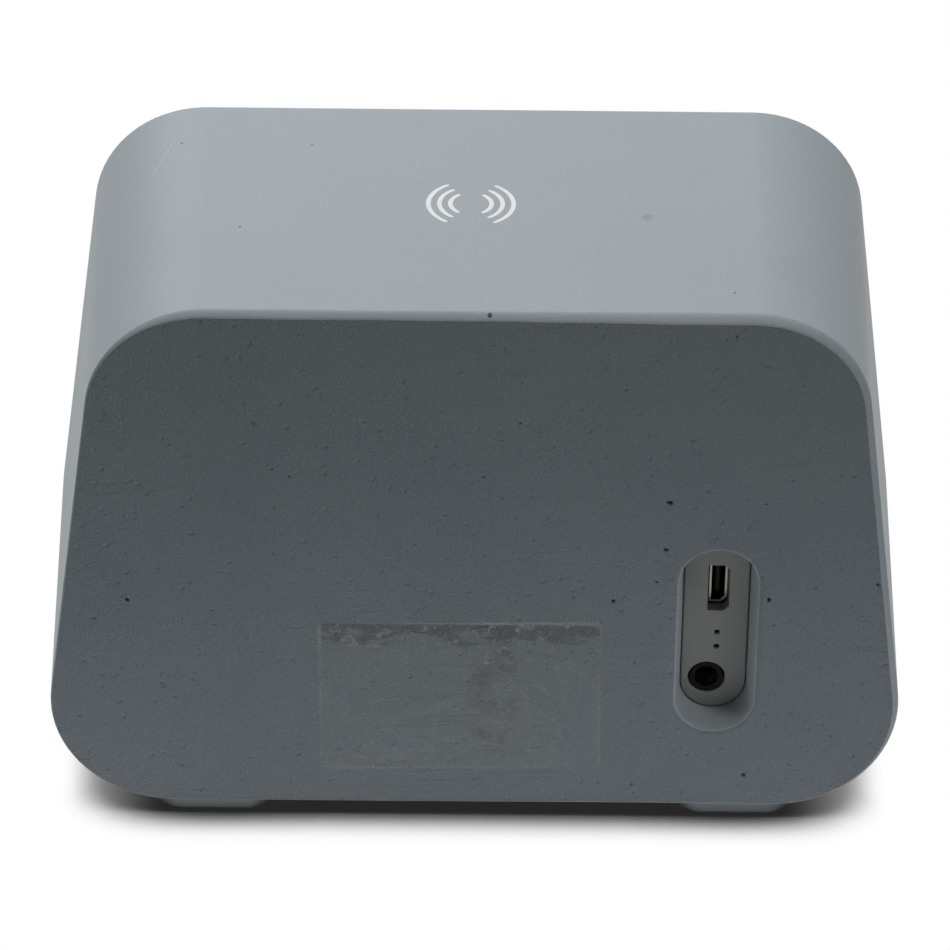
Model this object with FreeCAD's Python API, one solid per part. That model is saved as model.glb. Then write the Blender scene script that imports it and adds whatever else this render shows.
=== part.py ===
import FreeCAD, Part
import math
import os
from FreeCAD import Vector

# Cast cement desk speaker with a wireless charging pad in its top.
# Millimetres, +Z up. The front grille faces -Y and the ports are in the back, at +Y.
# The origin is on the table, under the middle of the body.

# Cement body: a leaning, rounded prism that is a little wider at the front
BODY_BASE_WIDTH = 130.0
FRONT_FLARE = 1.9
SIDE_LEAN_DEG = 7.27
BODY_HEIGHT = 86.0
BODY_DEPTH = 58.2
TOP_CORNER_R = 17.3
BOTTOM_CORNER_R = 17.9
BACK_BEVEL = 1.2
FRONT_EDGE_R = 0.8
RIM_WALL = 6.0
CAVITY_WALL = 9.5
CAVITY_CORNER_R = 14.0
BACK_WALL = 8.0
COIL_COVER = 4.0

# Rubber feet, slot shaped, let into the base
FOOT_LENGTH = 17.4
FOOT_WIDTH = 8.0
FOOT_PROUD = 2.5
FOOT_SUNK = 0.8
FOOT_EDGE_R = 0.5
FOOT_FROM_SIDE = 26.1
FOOT_SETBACK = 0.9

# Pocket in the back and the plastic panel that closes it
POCKET_FROM_SIDE = 25.92
POCKET_RISE = 29.6
POCKET_WIDTH = 11.7
POCKET_HEIGHT = 32.4
POCKET_DEPTH = 5.0
POCKET_DRAFT = 0.9
PANEL_FACE = 2.0
PANEL_SKIN = 1.0
PANEL_FLANGE_LAP = 3.1
PANEL_FLANGE = 2.0
PANEL_FLANGE_R = 3.0
PANEL_LUG_LENGTH = 12.0
PANEL_LUG_HEIGHT = 4.0
PANEL_LUG = 3.0

# Sockets and indicators in the panel, placed from the pocket's middle
USB_SHIFT = -0.3
USB_RISE = 6.3
USB_WIDTH = 7.5
USB_HEIGHT = 2.6
USB_LENGTH = 5.6
USB_SHEET = 0.3
USB_CHAMFER = 0.8
USB_TONGUE_WIDTH = 4.6
USB_TONGUE = 0.6
USB_SLOT_GAP = 0.25
JACK_SHIFT = 1.0
JACK_RISE = -9.8
JACK_BORE_R = 1.8
JACK_BARREL_R = 2.45
JACK_HOLE_R = 2.75
JACK_SET_BACK = 0.3
JACK_BODY_WIDTH = 6.0
JACK_LENGTH = 14.0
JACK_SLEEVE = 0.35
JACK_SLEEVE_LENGTH = 4.0
JACK_LIP = 0.8
LED_RISE = -1.6
LED_PITCH = 2.6
LED_HOLE_R = 0.4
LED_SIZE = 1.6
LIGHT_PIPE_SET_BACK = 0.6
LIGHT_PIPE_LENGTH = 4.6

# Front closure, from the rim inwards
CLOTH_RECESS = 1.0
CLOTH = 0.8
FRAME = 2.4
BAFFLE = 3.0
GASKET = 1.0
FRAME_BORDER = 4.0
FRAME_CROSSBAR = 3.0
SLAT_PITCH = 6.6
SLAT_GAP = 4.8
PEG_R = 1.5
PEG_LENGTH = 2.6
PEG_SPAN_SHARE = 0.372
GASKET_LAP = 2.5
BAFFLE_LIP_LAP = 0.5
BAFFLE_SCREW_INSET = 10.2
BAFFLE_SCREW_SPAN_SHARE = 0.5
BAFFLE_SCREW_R = 1.5
BAFFLE_SCREW_LENGTH = 11.0
BAFFLE_HEAD_R = 2.75
BAFFLE_HEAD = 1.65
INSERT_WALL = 0.8
INSERT_LENGTH = 8.0
INSERT_BOSS_WALL = 2.2
INSERT_BOSS_LENGTH = 12.0

# Control bar across the foot of the baffle, with three keys
BAR_HEIGHT = 9.2
BAR_PROUD = 3.0
BAR_SKIN = 1.5
BAR_EDGE_R = 0.4
KEY_LENGTH = 11.0
KEY_HEIGHT = 4.6
KEY_BOSS_SPACE = 2.4
KEY_PROUD = 0.5
KEY_EDGE_R = 0.3
KEY_FLANGE = 0.8
KEY_FLANGE_LAP = 0.6
KEY_TRAVEL_GAP = 0.5
KEY_REST_GAP = 0.1
KEY_STEM_R = 1.1
KEY_STEM = 0.4
SWITCH_LENGTH = 4.0
SWITCH_HEIGHT = 3.0
SWITCH_BODY = 1.4
SWITCH_PLUNGER = 0.3
SWITCH_PLUNGER_R = 0.8
KEY_BOARD = 1.0
KEY_BOARD_LENGTH = 64.0
KEY_SCREW_INSET = 3.5
KEY_SCREW_R = 0.7
KEY_SCREW_HEAD_R = 1.3
KEY_SCREW_HEAD = 0.8
KEY_SCREW_LENGTH = 3.2
KEY_BOSS_R = 2.0

# Two inch full range driver, as large as the room between control bar and ceiling allows.
# The shares are radii over the flange's radius.
DRIVER_MARGIN = 3.5
DRIVER_FLANGE = 1.2
DRIVER_GASKET = 0.6
DRIVER_WINDOW_SHARE = 0.593
BASKET_SHEET = 1.0
BASKET_MOUTH_SHARE = 0.785
SPIDER_SEAT_SHARE = 0.652
SPIDER_SEAT_DEPTH = 9.9
BASKET_CUP_SHARE = 0.541
BASKET_DEPTH = 16.0
POLE_SHARE = 0.241
AIR_GAP = 1.1
TOP_PLATE_SHARE = 0.556
TOP_PLATE = 3.0
MAGNET_SHARE = 0.648
MAGNET_HOLE_SHARE = 0.333
MAGNET = 8.0
YOKE = 3.0
FORMER_GAP = 0.3
FORMER_SHEET = 0.2
WINDING = 0.3
WINDING_LENGTH = 6.0
CONE_SHARE = 0.696
CONE_PAPER = 0.6
CONE_RISE = 5.8
CONE_EDGE_DEPTH = 0.6
CAP_SHARE = 0.333
CAP_RISE = 2.8
CAP_PAPER = 0.4
SURROUND_LIP_SHARE = 0.852
SURROUND_SHEET = 0.4
SURROUND_ROLL = 1.1
SPIDER_SHEET = 0.4
SPIDER_WAVE = 0.6
SPIDER_WAVES = 5
DRIVER_SCREW_R = 1.1
DRIVER_SCREW_HEAD = 1.4
DRIVER_SCREW_LENGTH = 4.0
TERMINAL_WIDTH = 12.0
TERMINAL_SHEET = 1.0
TERMINAL_EDGE_GAP = 0.6
TAB_WIDTH = 2.0
TAB_SHEET = 0.5
TAB_LENGTH = 5.0
TAB_SPREAD = 3.5

# Main board, standing behind the panel
BOARD = 1.6
BOARD_LENGTH = 27.0
BOARD_HEIGHT = 40.0
BOARD_FOOT_GAP = 1.6
BOARD_TONGUE = 9.0
BOARD_EDGE_GAP = 0.7
BOARD_PART_GAP = 1.0
BOARD_SCREW_SETBACK = 8.0
BOARD_SCREW_R = 0.95
BOARD_SCREW_HEAD_R = 1.9
BOARD_SCREW_HEAD = 1.3
BOARD_SCREW_LENGTH = 4.0
RADIO_LENGTH = 13.0
RADIO_HEIGHT = 14.0
RADIO_DEPTH = 2.4
AMP_SIZE = 5.0
AMP_DEPTH = 1.0
CAPACITOR_R = 2.5
CAPACITOR_LENGTH = 6.0
CAPACITOR_PITCH = 6.5

# Flat battery on the floor of the cavity
BATTERY_LENGTH = 50.0
BATTERY_WIDTH = 30.0
BATTERY_HEIGHT = 7.5
BATTERY_EDGE_R = 1.5
BATTERY_END_GAP = 1.7
BATTERY_Y = 2.0
BATTERY_PAD = 0.8
BATTERY_PAD_INSET = 2.0

# Wireless charger under the top
COIL_R = 19.0
COIL_HOLE_R = 9.5
COIL = 1.4
COIL_GAP = 0.1
FERRITE_R = 19.3
FERRITE = 1.0
COIL_POCKET_GAP = 0.5
TRAY_END_GAP = 0.7
TRAY_WIDTH = 36.0
TRAY = 1.8
TRAY_R = 4.0
TRAY_RIB = 2.0
TRAY_SCREW_INSET = 5.0
TRAY_SCREW_R = 1.25
TRAY_SCREW_HEAD_R = 2.3
TRAY_SCREW_HEAD = 1.5
TRAY_SCREW_LENGTH = 5.4
TRAY_INSERT_LENGTH = 4.0
CHARGER_LENGTH = 40.0
CHARGER_WIDTH = 26.0
CHARGER_BOARD = 1.2
CHARGER_STANDOFF = 3.0
CHARGER_STANDOFF_R = 2.2
CHARGER_SCREW_INSET = 3.5
CHARGER_SCREW_R = 0.95
CHARGER_SCREW_HEAD_R = 1.9
CHARGER_SCREW_HEAD = 1.3
CHARGER_SCREW_LENGTH = 4.4
CHIP_SIZE = 6.0
CHIP_DEPTH = 1.2
CHIP_PITCH = 10.0

# Leads
LEAD_R = 0.6
LEAD_PITCH = 2.4
LEAD_BEND_R = 5.0

# Clearances: a dropped-in piece, a sliding key, a close fit round a screw or pin
DROP_GAP = 0.3
KEY_GAP = 0.2
CLOSE_GAP = 0.05
SCREW_GAP = 0.3
PANEL_GAP = 0.1

# How far a cutting shape runs past the face it opens
OVERRUN = 1.0

# Levels that follow from the sizes above
FRONT = -BODY_DEPTH / 2
BACK = BODY_DEPTH / 2
BASE_Z = FOOT_PROUD
TOP_Z = BASE_Z + BODY_HEIGHT
LEAN = math.tan(math.radians(SIDE_LEAN_DEG))
FLARE = FRONT_FLARE / BODY_DEPTH
CLOTH_FRONT = FRONT + CLOTH_RECESS
FRAME_FRONT = CLOTH_FRONT + CLOTH
BAFFLE_FRONT = FRAME_FRONT + FRAME
BAFFLE_BACK = BAFFLE_FRONT + BAFFLE
LEDGE = BAFFLE_BACK + GASKET
INNER_BACK = BACK - BACK_WALL
FLOOR_Z = BASE_Z + CAVITY_WALL
CEILING_Z = TOP_Z - CAVITY_WALL
BAFFLE_INSET = RIM_WALL + DROP_GAP
BAR_FRONT = BAFFLE_FRONT - BAR_PROUD
BAR_TOP = BASE_Z + BAFFLE_INSET + BAR_HEIGHT
KEY_Z = BASE_Z + BAFFLE_INSET + BAR_HEIGHT / 2
KEY_BOARD_SCREW_X = KEY_BOARD_LENGTH / 2 - KEY_SCREW_INSET
KEY_PITCH = KEY_BOARD_SCREW_X - KEY_BOSS_R - KEY_BOSS_SPACE - KEY_FLANGE_LAP - KEY_LENGTH / 2
POCKET_Z = BASE_Z + POCKET_RISE
PANEL_Y = BACK - POCKET_DEPTH
SLOT_WIDTH = POCKET_WIDTH - 2 * POCKET_DRAFT
SLOT_HEIGHT = POCKET_HEIGHT - 2 * POCKET_DRAFT
POCKET_X = POCKET_FROM_SIDE - BODY_BASE_WIDTH / 2 + LEAN * POCKET_RISE
FLANGE_FACE = INNER_BACK - PANEL_FLANGE
USB_X = POCKET_X + USB_SHIFT
USB_Z = POCKET_Z + USB_RISE
USB_MOUTH = PANEL_Y - PANEL_FACE - CLOSE_GAP
BOARD_FACE_X = USB_X - USB_HEIGHT / 2
BOARD_BACK_X = BOARD_FACE_X - BOARD
BOARD_EDGE = FLANGE_FACE - BOARD_EDGE_GAP
BOARD_LOW = FLOOR_Z + BOARD_FOOT_GAP
BOARD_HIGH = BOARD_LOW + BOARD_HEIGHT
JACK_X = POCKET_X + JACK_SHIFT
JACK_Z = POCKET_Z + JACK_RISE
JACK_MOUTH = PANEL_Y - JACK_SET_BACK
LED_Z = POCKET_Z + LED_RISE
DRIVER_Z = (BAR_TOP + CEILING_Z) / 2
DRIVER_FLANGE_R = (CEILING_Z - BAR_TOP) / 2 - DRIVER_MARGIN
BASKET_MOUTH_R = BASKET_MOUTH_SHARE * DRIVER_FLANGE_R
SPIDER_SEAT_R = SPIDER_SEAT_SHARE * DRIVER_FLANGE_R
BASKET_CUP_R = BASKET_CUP_SHARE * DRIVER_FLANGE_R
POLE_R = POLE_SHARE * DRIVER_FLANGE_R
TOP_PLATE_R = TOP_PLATE_SHARE * DRIVER_FLANGE_R
MAGNET_R = MAGNET_SHARE * DRIVER_FLANGE_R
MAGNET_HOLE_R = MAGNET_HOLE_SHARE * DRIVER_FLANGE_R
CONE_R = CONE_SHARE * DRIVER_FLANGE_R
CAP_R = CAP_SHARE * DRIVER_FLANGE_R
SURROUND_LIP_R = SURROUND_LIP_SHARE * DRIVER_FLANGE_R
FLANGE_INNER_R = BASKET_MOUTH_R + BASKET_SHEET
DRIVER_SCREW_CIRCLE_R = (FLANGE_INNER_R + DRIVER_FLANGE_R) / 2
DRIVER_SCREW_HEAD_R = (DRIVER_FLANGE_R - FLANGE_INNER_R) / 2 - SCREW_GAP
TERMINAL_SPAN = DRIVER_FLANGE_R - FLANGE_INNER_R - 2 * TERMINAL_EDGE_GAP
DRIVER_FACE = BAFFLE_BACK + DRIVER_GASKET
COIL_TOP = TOP_Z - COIL_COVER - COIL_GAP
FERRITE_TOP = COIL_TOP - COIL
TRAY_RIM_TOP = FERRITE_TOP - FERRITE
TRAY_LOW = CEILING_Z - TRAY
CHARGER_TOP = TRAY_LOW - CHARGER_STANDOFF
CHARGER_LOW = CHARGER_TOP - CHARGER_BOARD
BATTERY_LOW = FLOOR_Z + BATTERY_PAD
AXIS_X = Vector(1, 0, 0)
AXIS_Y = Vector(0, 1, 0)
AXIS_Z = Vector(0, 0, 1)


# Shapes used by several pieces

def half_width(y, z):
    """Half the body's outer width at a depth and a height, with the corners sharp."""
    return BODY_BASE_WIDTH / 2 + FLARE * (BACK - y) - LEAN * (z - BASE_Z)


def side_shift(inset):
    """How far a side face moves in X when it is set in square to itself."""
    return inset * math.sqrt(1 + LEAN ** 2 + FLARE ** 2)


def block(inset, y_front, y_back, low_r, high_r, z_low=None):
    """A block whose sides follow the body's own, set in by a wall, with rounded long edges."""
    bottom = BASE_Z + inset if z_low is None else z_low
    top = TOP_Z - inset
    corners = {}
    for y in (y_front, y_back):
        for z in (bottom, top):
            reach = half_width(y, z) - side_shift(inset)
            corners[y, z] = (Vector(-reach, y, z), Vector(reach, y, z))
    loops = []
    for y in (y_front, y_back):
        low, high = corners[y, bottom], corners[y, top]
        loops.append([low[0], low[1], high[1], high[0]])
    near, far = loops
    faces = [near, far]
    for i in range(4):
        j = (i + 1) % 4
        faces.append([near[i], near[j], far[j], far[i]])
    skins = [Part.Face(Part.makePolygon(points + points[:1])) for points in faces]
    solid = Part.makeSolid(Part.makeShell(skins))
    solid = round_long_edges(solid, bottom, low_r)
    return round_long_edges(solid, top, high_r)


def round_long_edges(solid, level, radius):
    """Round the two edges that run front to back at one height."""
    edges = []
    for edge in solid.Edges:
        first, last = edge.Vertexes[0].Point, edge.Vertexes[-1].Point
        if abs(first.y - last.y) > 1e-6 and abs(first.z - level) + abs(last.z - level) < 1e-6:
            edges.append(edge)
    return solid.makeFillet(radius, edges)


def body_block(inset, y_front, y_back):
    """The body's outline set in by a wall, with corners that stay parallel to the outside."""
    return block(inset, y_front, y_back, BOTTOM_CORNER_R - inset, TOP_CORNER_R - inset)


def edges_in_plane(shape, y):
    """Edges that lie whole in one plane across the body."""
    found = []
    for edge in shape.Edges:
        box = edge.BoundBox
        if abs(box.YMin - y) < 1e-6 and abs(box.YMax - y) < 1e-6:
            found.append(edge)
    return found


def rounded_outline(width, height, radius):
    """A closed wire round the origin in XY: a rectangle with round corners, or a slot."""
    w, h = width / 2 - radius, height / 2 - radius
    bend = radius * math.sqrt(0.5)
    edges = []
    for cx, cy, sx, sy in ((w, -h, 1, -1), (w, h, 1, 1), (-w, h, -1, 1), (-w, -h, -1, -1)):
        across, along = Vector(cx + sx * radius, cy, 0), Vector(cx, cy + sy * radius, 0)
        first, last = (along, across) if sx * sy < 0 else (across, along)
        middle = Vector(cx + sx * bend, cy + sy * bend, 0)
        if edges and (edges[-1].EndPoint - first).Length > 1e-6:
            edges.append(Part.LineSegment(edges[-1].EndPoint, first))
        edges.append(Part.Arc(first, middle, last))
    if (edges[-1].EndPoint - edges[0].StartPoint).Length > 1e-6:
        edges.append(Part.LineSegment(edges[-1].EndPoint, edges[0].StartPoint))
    return Part.Wire([edge.toShape() for edge in edges])


def plate_z(width, depth, radius, x, y, z_low, z_high):
    """A flat plate with round corners, lying level."""
    face = Part.Face(rounded_outline(width, depth, radius))
    solid = face.extrude(Vector(0, 0, z_high - z_low))
    solid.translate(Vector(x, y, z_low))
    return solid


def outline_y(width, height, radius, x, y, z):
    """The same outline, standing across the body."""
    wire = rounded_outline(width, height, radius)
    wire.rotate(Vector(0, 0, 0), AXIS_X, 90)
    wire.translate(Vector(x, y, z))
    return wire


def plate_y(width, height, radius, x, z, y_front, y_back):
    """A plate or slot with round corners, standing across the body."""
    face = Part.Face(outline_y(width, height, radius, x, y_front, z))
    return face.extrude(Vector(0, y_back - y_front, 0))


def box(x0, x1, y0, y1, z0, z1):
    """A box between two corners."""
    return Part.makeBox(x1 - x0, y1 - y0, z1 - z0, Vector(x0, y0, z0))


def screw(seat, towards, shank_r, length, head_r, head):
    """A pan head screw, seated under its head, with a round drive recess."""
    shank = Part.makeCylinder(shank_r, length, seat, towards)
    cap = Part.makeCylinder(head_r, head, seat, towards * -1)
    socket = Part.makeCylinder(head_r / 2, head / 2, seat - towards * head, towards)
    return cap.fuse(shank).cut(socket).removeSplitter()


def turned(points):
    """A piece of the driver, turned about its axis from (radius, depth behind the flange)."""
    wire = Part.makePolygon([Vector(r, depth, 0) for r, depth in points + points[:1]])
    return spin(wire)


def spin(wire):
    """Turn a closed profile about the driver's axis and put it in its place."""
    solid = Part.Face(wire).revolve(Vector(0, 0, 0), AXIS_Y, 360)
    solid.translate(Vector(0, DRIVER_FACE, DRIVER_Z))
    return solid


def ring(inner_r, outer_r, front, back):
    """A plain turned ring of the driver."""
    return turned([(inner_r, front), (outer_r, front), (outer_r, back), (inner_r, back)])


def lead(points):
    """A round lead along straight runs joined by tangent arcs."""
    edges = []
    start = points[0]
    for before, corner, after in zip(points, points[1:], points[2:]):
        back_way = (before - corner).normalize()
        out_way = (after - corner).normalize()
        half_turn = (math.pi - back_way.getAngle(out_way)) / 2
        reach = LEAD_BEND_R * math.tan(half_turn)
        first, last = corner + back_way * reach, corner + out_way * reach
        inward = (back_way + out_way).normalize()
        depth = LEAD_BEND_R / math.cos(half_turn) - LEAD_BEND_R
        edges.append(Part.LineSegment(start, first).toShape())
        edges.append(Part.Arc(first, corner + inward * depth, last).toShape())
        start = last
    edges.append(Part.LineSegment(start, points[-1]).toShape())
    path = Part.Wire(edges)
    section = Part.Wire(Part.makeCircle(LEAD_R, points[0], points[1] - points[0]))
    return path.makePipeShell([section], True, True)


# Positions of repeated pieces

def span_levels(share):
    """Two heights, as far apart as a share of the body's height, about its middle."""
    middle = BASE_Z + BODY_HEIGHT / 2
    return (middle - share * BODY_HEIGHT / 2, middle + share * BODY_HEIGHT / 2)


def flat_reach(y, z, corner):
    """Half the flat width of the cavity's floor or ceiling, between its rounded corners."""
    turn = corner * math.radians(SIDE_LEAN_DEG)
    tangent = CAVITY_CORNER_R * math.tan(math.pi / 4 + turn / 2)
    return half_width(y, z) - side_shift(CAVITY_WALL) - tangent


def tray_length():
    """The tray fills the flat of the ceiling."""
    return 2 * (flat_reach(TRAY_WIDTH / 2, CEILING_Z, -1) - TRAY_END_GAP)


def battery_x():
    """The battery lies at the right end of the floor, away from the board."""
    back = BATTERY_Y + BATTERY_WIDTH / 2
    return flat_reach(back, FLOOR_Z, 1) - BATTERY_END_GAP - BATTERY_LENGTH / 2


def baffle_screw_spots():
    """Four places along the sides where the baffle is screwed to the shell."""
    spots = []
    for z in span_levels(BAFFLE_SCREW_SPAN_SHARE):
        reach = half_width(LEDGE, z) - side_shift(BAFFLE_SCREW_INSET)
        spots += [(-reach, z), (reach, z)]
    return spots


def driver_screw_spots():
    """Four places round the driver's flange."""
    step = DRIVER_SCREW_CIRCLE_R * math.sqrt(0.5)
    return [(sx * step, DRIVER_Z + sz * step) for sx in (-1, 1) for sz in (-1, 1)]


def peg_spots():
    """Two pegs at each side of the grille frame, one above the other."""
    spots = []
    for z in span_levels(PEG_SPAN_SHARE):
        reach = half_width(BAFFLE_FRONT, z) - side_shift(BAFFLE_INSET + CLOTH + FRAME_BORDER / 2)
        spots += [(-reach, z), (reach, z)]
    return spots


def tray_screw_spots():
    """The tray's four corners."""
    x = tray_length() / 2 - TRAY_SCREW_INSET
    y = TRAY_WIDTH / 2 - TRAY_SCREW_INSET
    return [(sx * x, sy * y) for sx in (-1, 1) for sy in (-1, 1)]


def charger_screw_spots():
    """The charger board's four corners."""
    x = CHARGER_LENGTH / 2 - CHARGER_SCREW_INSET
    y = CHARGER_WIDTH / 2 - CHARGER_SCREW_INSET
    return [(sx * x, sy * y) for sx in (-1, 1) for sy in (-1, 1)]


def foot_spots():
    """Name and place of each foot."""
    x = BODY_BASE_WIDTH / 2 - FOOT_FROM_SIDE
    y = BACK - FOOT_SETBACK - FOOT_WIDTH / 2
    return {
        "foot_front_left": (-x, -y),
        "foot_front_right": (x, -y),
        "foot_back_left": (-x, y),
        "foot_back_right": (x, y),
    }


def key_spots():
    """Name and place of each key on the control bar."""
    return {"volume_down_button": -KEY_PITCH, "power_button": 0.0, "volume_up_button": KEY_PITCH}


# Cement shell and feet

def concrete_shell():
    """One casting: open front with a stepped rim, blind coil pocket, drafted port pocket."""
    shell = body_block(0, FRONT, BACK)
    shell = shell.makeChamfer(BACK_BEVEL, edges_in_plane(shell, BACK))
    shell = shell.makeFillet(FRONT_EDGE_R, edges_in_plane(shell, FRONT))
    rebate = body_block(RIM_WALL, FRONT - OVERRUN, LEDGE)
    cavity = block(CAVITY_WALL, LEDGE - OVERRUN, INNER_BACK, CAVITY_CORNER_R, CAVITY_CORNER_R)
    shell = shell.cut([rebate, cavity])
    insert_r = BAFFLE_SCREW_R + CLOSE_GAP + INSERT_WALL
    columns = []
    for x, z in baffle_screw_spots():
        foot = Vector(x, LEDGE, z)
        columns.append(Part.makeCylinder(insert_r + INSERT_BOSS_WALL, INSERT_BOSS_LENGTH, foot, AXIS_Y))
    shell = shell.fuse([column.common(cavity) for column in columns]).removeSplitter()
    cuts = [port_pocket(), port_slot(), coil_pocket()]
    for x, z in baffle_screw_spots():
        depth = max(INSERT_LENGTH, BAFFLE_SCREW_LENGTH) + CLOSE_GAP
        cuts.append(Part.makeCylinder(insert_r + CLOSE_GAP, depth, Vector(x, LEDGE, z), AXIS_Y))
    tray_insert_r = TRAY_SCREW_R + CLOSE_GAP + INSERT_WALL
    for x, y in tray_screw_spots():
        spot = Vector(x, y, CEILING_Z)
        depth = TRAY_INSERT_LENGTH + CLOSE_GAP
        cuts.append(Part.makeCylinder(tray_insert_r + CLOSE_GAP, depth, spot, AXIS_Z))
    for x, y in foot_spots().values():
        length, width = FOOT_LENGTH + 2 * PANEL_GAP, FOOT_WIDTH + 2 * PANEL_GAP
        cuts.append(plate_z(length, width, width / 2, x, y, BASE_Z - OVERRUN, BASE_Z + FOOT_SUNK))
    return shell.cut(cuts)


def port_pocket():
    """The pocket in the back, slot shaped and drafted towards its floor."""
    spread = POCKET_DRAFT * OVERRUN / POCKET_DEPTH
    width, height = POCKET_WIDTH + 2 * spread, POCKET_HEIGHT + 2 * spread
    mouth = outline_y(width, height, width / 2, POCKET_X, BACK + OVERRUN, POCKET_Z)
    floor = outline_y(SLOT_WIDTH, SLOT_HEIGHT, SLOT_WIDTH / 2, POCKET_X, PANEL_Y, POCKET_Z)
    return Part.makeLoft([mouth, floor], True, True)


def port_slot():
    """The straight slot from the pocket's floor into the cavity."""
    start = INNER_BACK - OVERRUN
    return plate_y(SLOT_WIDTH, SLOT_HEIGHT, SLOT_WIDTH / 2, POCKET_X, POCKET_Z, start, PANEL_Y)


def coil_pocket():
    """The round pocket that brings the charging coil near the top face."""
    depth = TOP_Z - COIL_COVER - CEILING_Z
    return Part.makeCylinder(FERRITE_R + COIL_POCKET_GAP, depth, Vector(0, 0, CEILING_Z), AXIS_Z)


def foot(x, y):
    """A slot shaped rubber foot with a rounded lower edge."""
    pad = plate_z(FOOT_LENGTH, FOOT_WIDTH, FOOT_WIDTH / 2, x, y, 0, BASE_Z + FOOT_SUNK)
    lower = [edge for edge in pad.Edges if edge.BoundBox.ZMax < 1e-6]
    return pad.makeFillet(FOOT_EDGE_R, lower)


# Ports

def port_panel():
    """A moulded cup through the back wall, with a flange inside and two lugs for the board."""
    width, height = SLOT_WIDTH - 2 * PANEL_GAP, SLOT_HEIGHT - 2 * PANEL_GAP
    plug = plate_y(width, height, width / 2, POCKET_X, POCKET_Z, FLANGE_FACE, PANEL_Y)
    wide, high = SLOT_WIDTH + 2 * PANEL_FLANGE_LAP, SLOT_HEIGHT + 2 * PANEL_FLANGE_LAP
    flange = plate_y(wide, high, PANEL_FLANGE_R, POCKET_X, POCKET_Z, FLANGE_FACE, INNER_BACK)
    panel = plug.fuse([flange] + [lug(z) for z in lug_levels()]).removeSplitter()
    inner_width, inner_height = width - 2 * PANEL_SKIN, height - 2 * PANEL_SKIN
    hollow_front, hollow_back = FLANGE_FACE - OVERRUN, PANEL_Y - PANEL_FACE
    hollow = plate_y(
        inner_width, inner_height, inner_width / 2, POCKET_X, POCKET_Z, hollow_front, hollow_back
    )
    cuts = [hollow, usb_prism(USB_SLOT_GAP, hollow_back - OVERRUN, PANEL_Y + OVERRUN)]
    holes = [(JACK_HOLE_R, JACK_X, JACK_Z)] + [(LED_HOLE_R, USB_X, z) for z in led_levels()]
    for radius, x, z in holes:
        start = Vector(x, hollow_back - OVERRUN, z)
        cuts.append(Part.makeCylinder(radius, PANEL_FACE + 2 * OVERRUN, start, AXIS_Y))
    for y, z in board_screw_spots():
        depth = BOARD_SCREW_LENGTH - BOARD + CLOSE_GAP
        pilot = Vector(BOARD_BACK_X, y, z)
        cuts.append(Part.makeCylinder(BOARD_SCREW_R + CLOSE_GAP, depth, pilot, AXIS_X * -1))
    return panel.cut(cuts)


def lug_levels():
    """Heights of the two lugs, at the ends of the panel's flange."""
    reach = SLOT_HEIGHT / 2 + PANEL_FLANGE_LAP - PANEL_LUG_HEIGHT / 2
    return (POCKET_Z - reach, POCKET_Z + reach)


def lug(z):
    """An arm of the panel that the board is screwed to."""
    low, high = z - PANEL_LUG_HEIGHT / 2, z + PANEL_LUG_HEIGHT / 2
    tip = FLANGE_FACE - PANEL_LUG_LENGTH
    return box(BOARD_BACK_X - PANEL_LUG, BOARD_BACK_X, tip, FLANGE_FACE, low, high)


def board_screw_spots():
    """The two screws through the board, in the lugs."""
    return [(FLANGE_FACE - BOARD_SCREW_SETBACK, z) for z in lug_levels()]


def led_levels():
    """Heights of the two indicators."""
    return (LED_Z, LED_Z - LED_PITCH)


def usb_prism(grow, y_front, y_back):
    """The socket's outline, with its two corners cut on the board side, grown by a gap."""
    x0, x1 = USB_X - USB_HEIGHT / 2 - grow, USB_X + USB_HEIGHT / 2 + grow
    z0, z1 = USB_Z - USB_WIDTH / 2 - grow, USB_Z + USB_WIDTH / 2 + grow
    outline = [
        (x0, z0 + USB_CHAMFER),
        (x0 + USB_CHAMFER, z0),
        (x1, z0),
        (x1, z1),
        (x0 + USB_CHAMFER, z1),
        (x0, z1 - USB_CHAMFER),
    ]
    points = [Vector(x, y_front, z) for x, z in outline]
    face = Part.Face(Part.makePolygon(points + points[:1]))
    return face.extrude(Vector(0, y_back - y_front, 0))


def usb_shell():
    """Folded sheet metal shell, open at the mouth."""
    outside = usb_prism(0, USB_MOUTH - USB_LENGTH, USB_MOUTH)
    inside = usb_prism(-USB_SHEET, USB_MOUTH - USB_LENGTH + USB_SHEET, USB_MOUTH + OVERRUN)
    return outside.cut(inside)


def usb_tongue():
    """Plastic tongue that carries the contacts, standing on the shell's back wall."""
    back = USB_MOUTH - USB_LENGTH + USB_SHEET
    half = USB_TONGUE_WIDTH / 2
    x = USB_X + USB_HEIGHT / 2 - USB_SHEET - 2 * USB_TONGUE
    return box(x, x + USB_TONGUE, back, USB_MOUTH - USB_TONGUE, USB_Z - half, USB_Z + half)


def aux_jack():
    """Moulded jack: a round barrel that fills the panel's hole and a square body on the board."""
    mouth = Vector(JACK_X, JACK_MOUTH, JACK_Z)
    inward = AXIS_Y * -1
    barrel = Part.makeCylinder(JACK_BARREL_R, JACK_LENGTH, mouth, inward)
    half = JACK_BODY_WIDTH / 2
    depth = 2 * (JACK_X - BOARD_FACE_X)
    body_front = JACK_MOUTH - JACK_LENGTH - JACK_LIP
    body = box(BOARD_FACE_X, BOARD_FACE_X + depth, body_front, BOARD_EDGE, JACK_Z - half, JACK_Z + half)
    bore = Part.makeCylinder(JACK_BORE_R, JACK_LENGTH, mouth, inward)
    seat_start = mouth + inward * JACK_LIP
    seat = Part.makeCylinder(JACK_BORE_R + JACK_SLEEVE, JACK_SLEEVE_LENGTH, seat_start, inward)
    return barrel.fuse(body).removeSplitter().cut([bore, seat])


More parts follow.
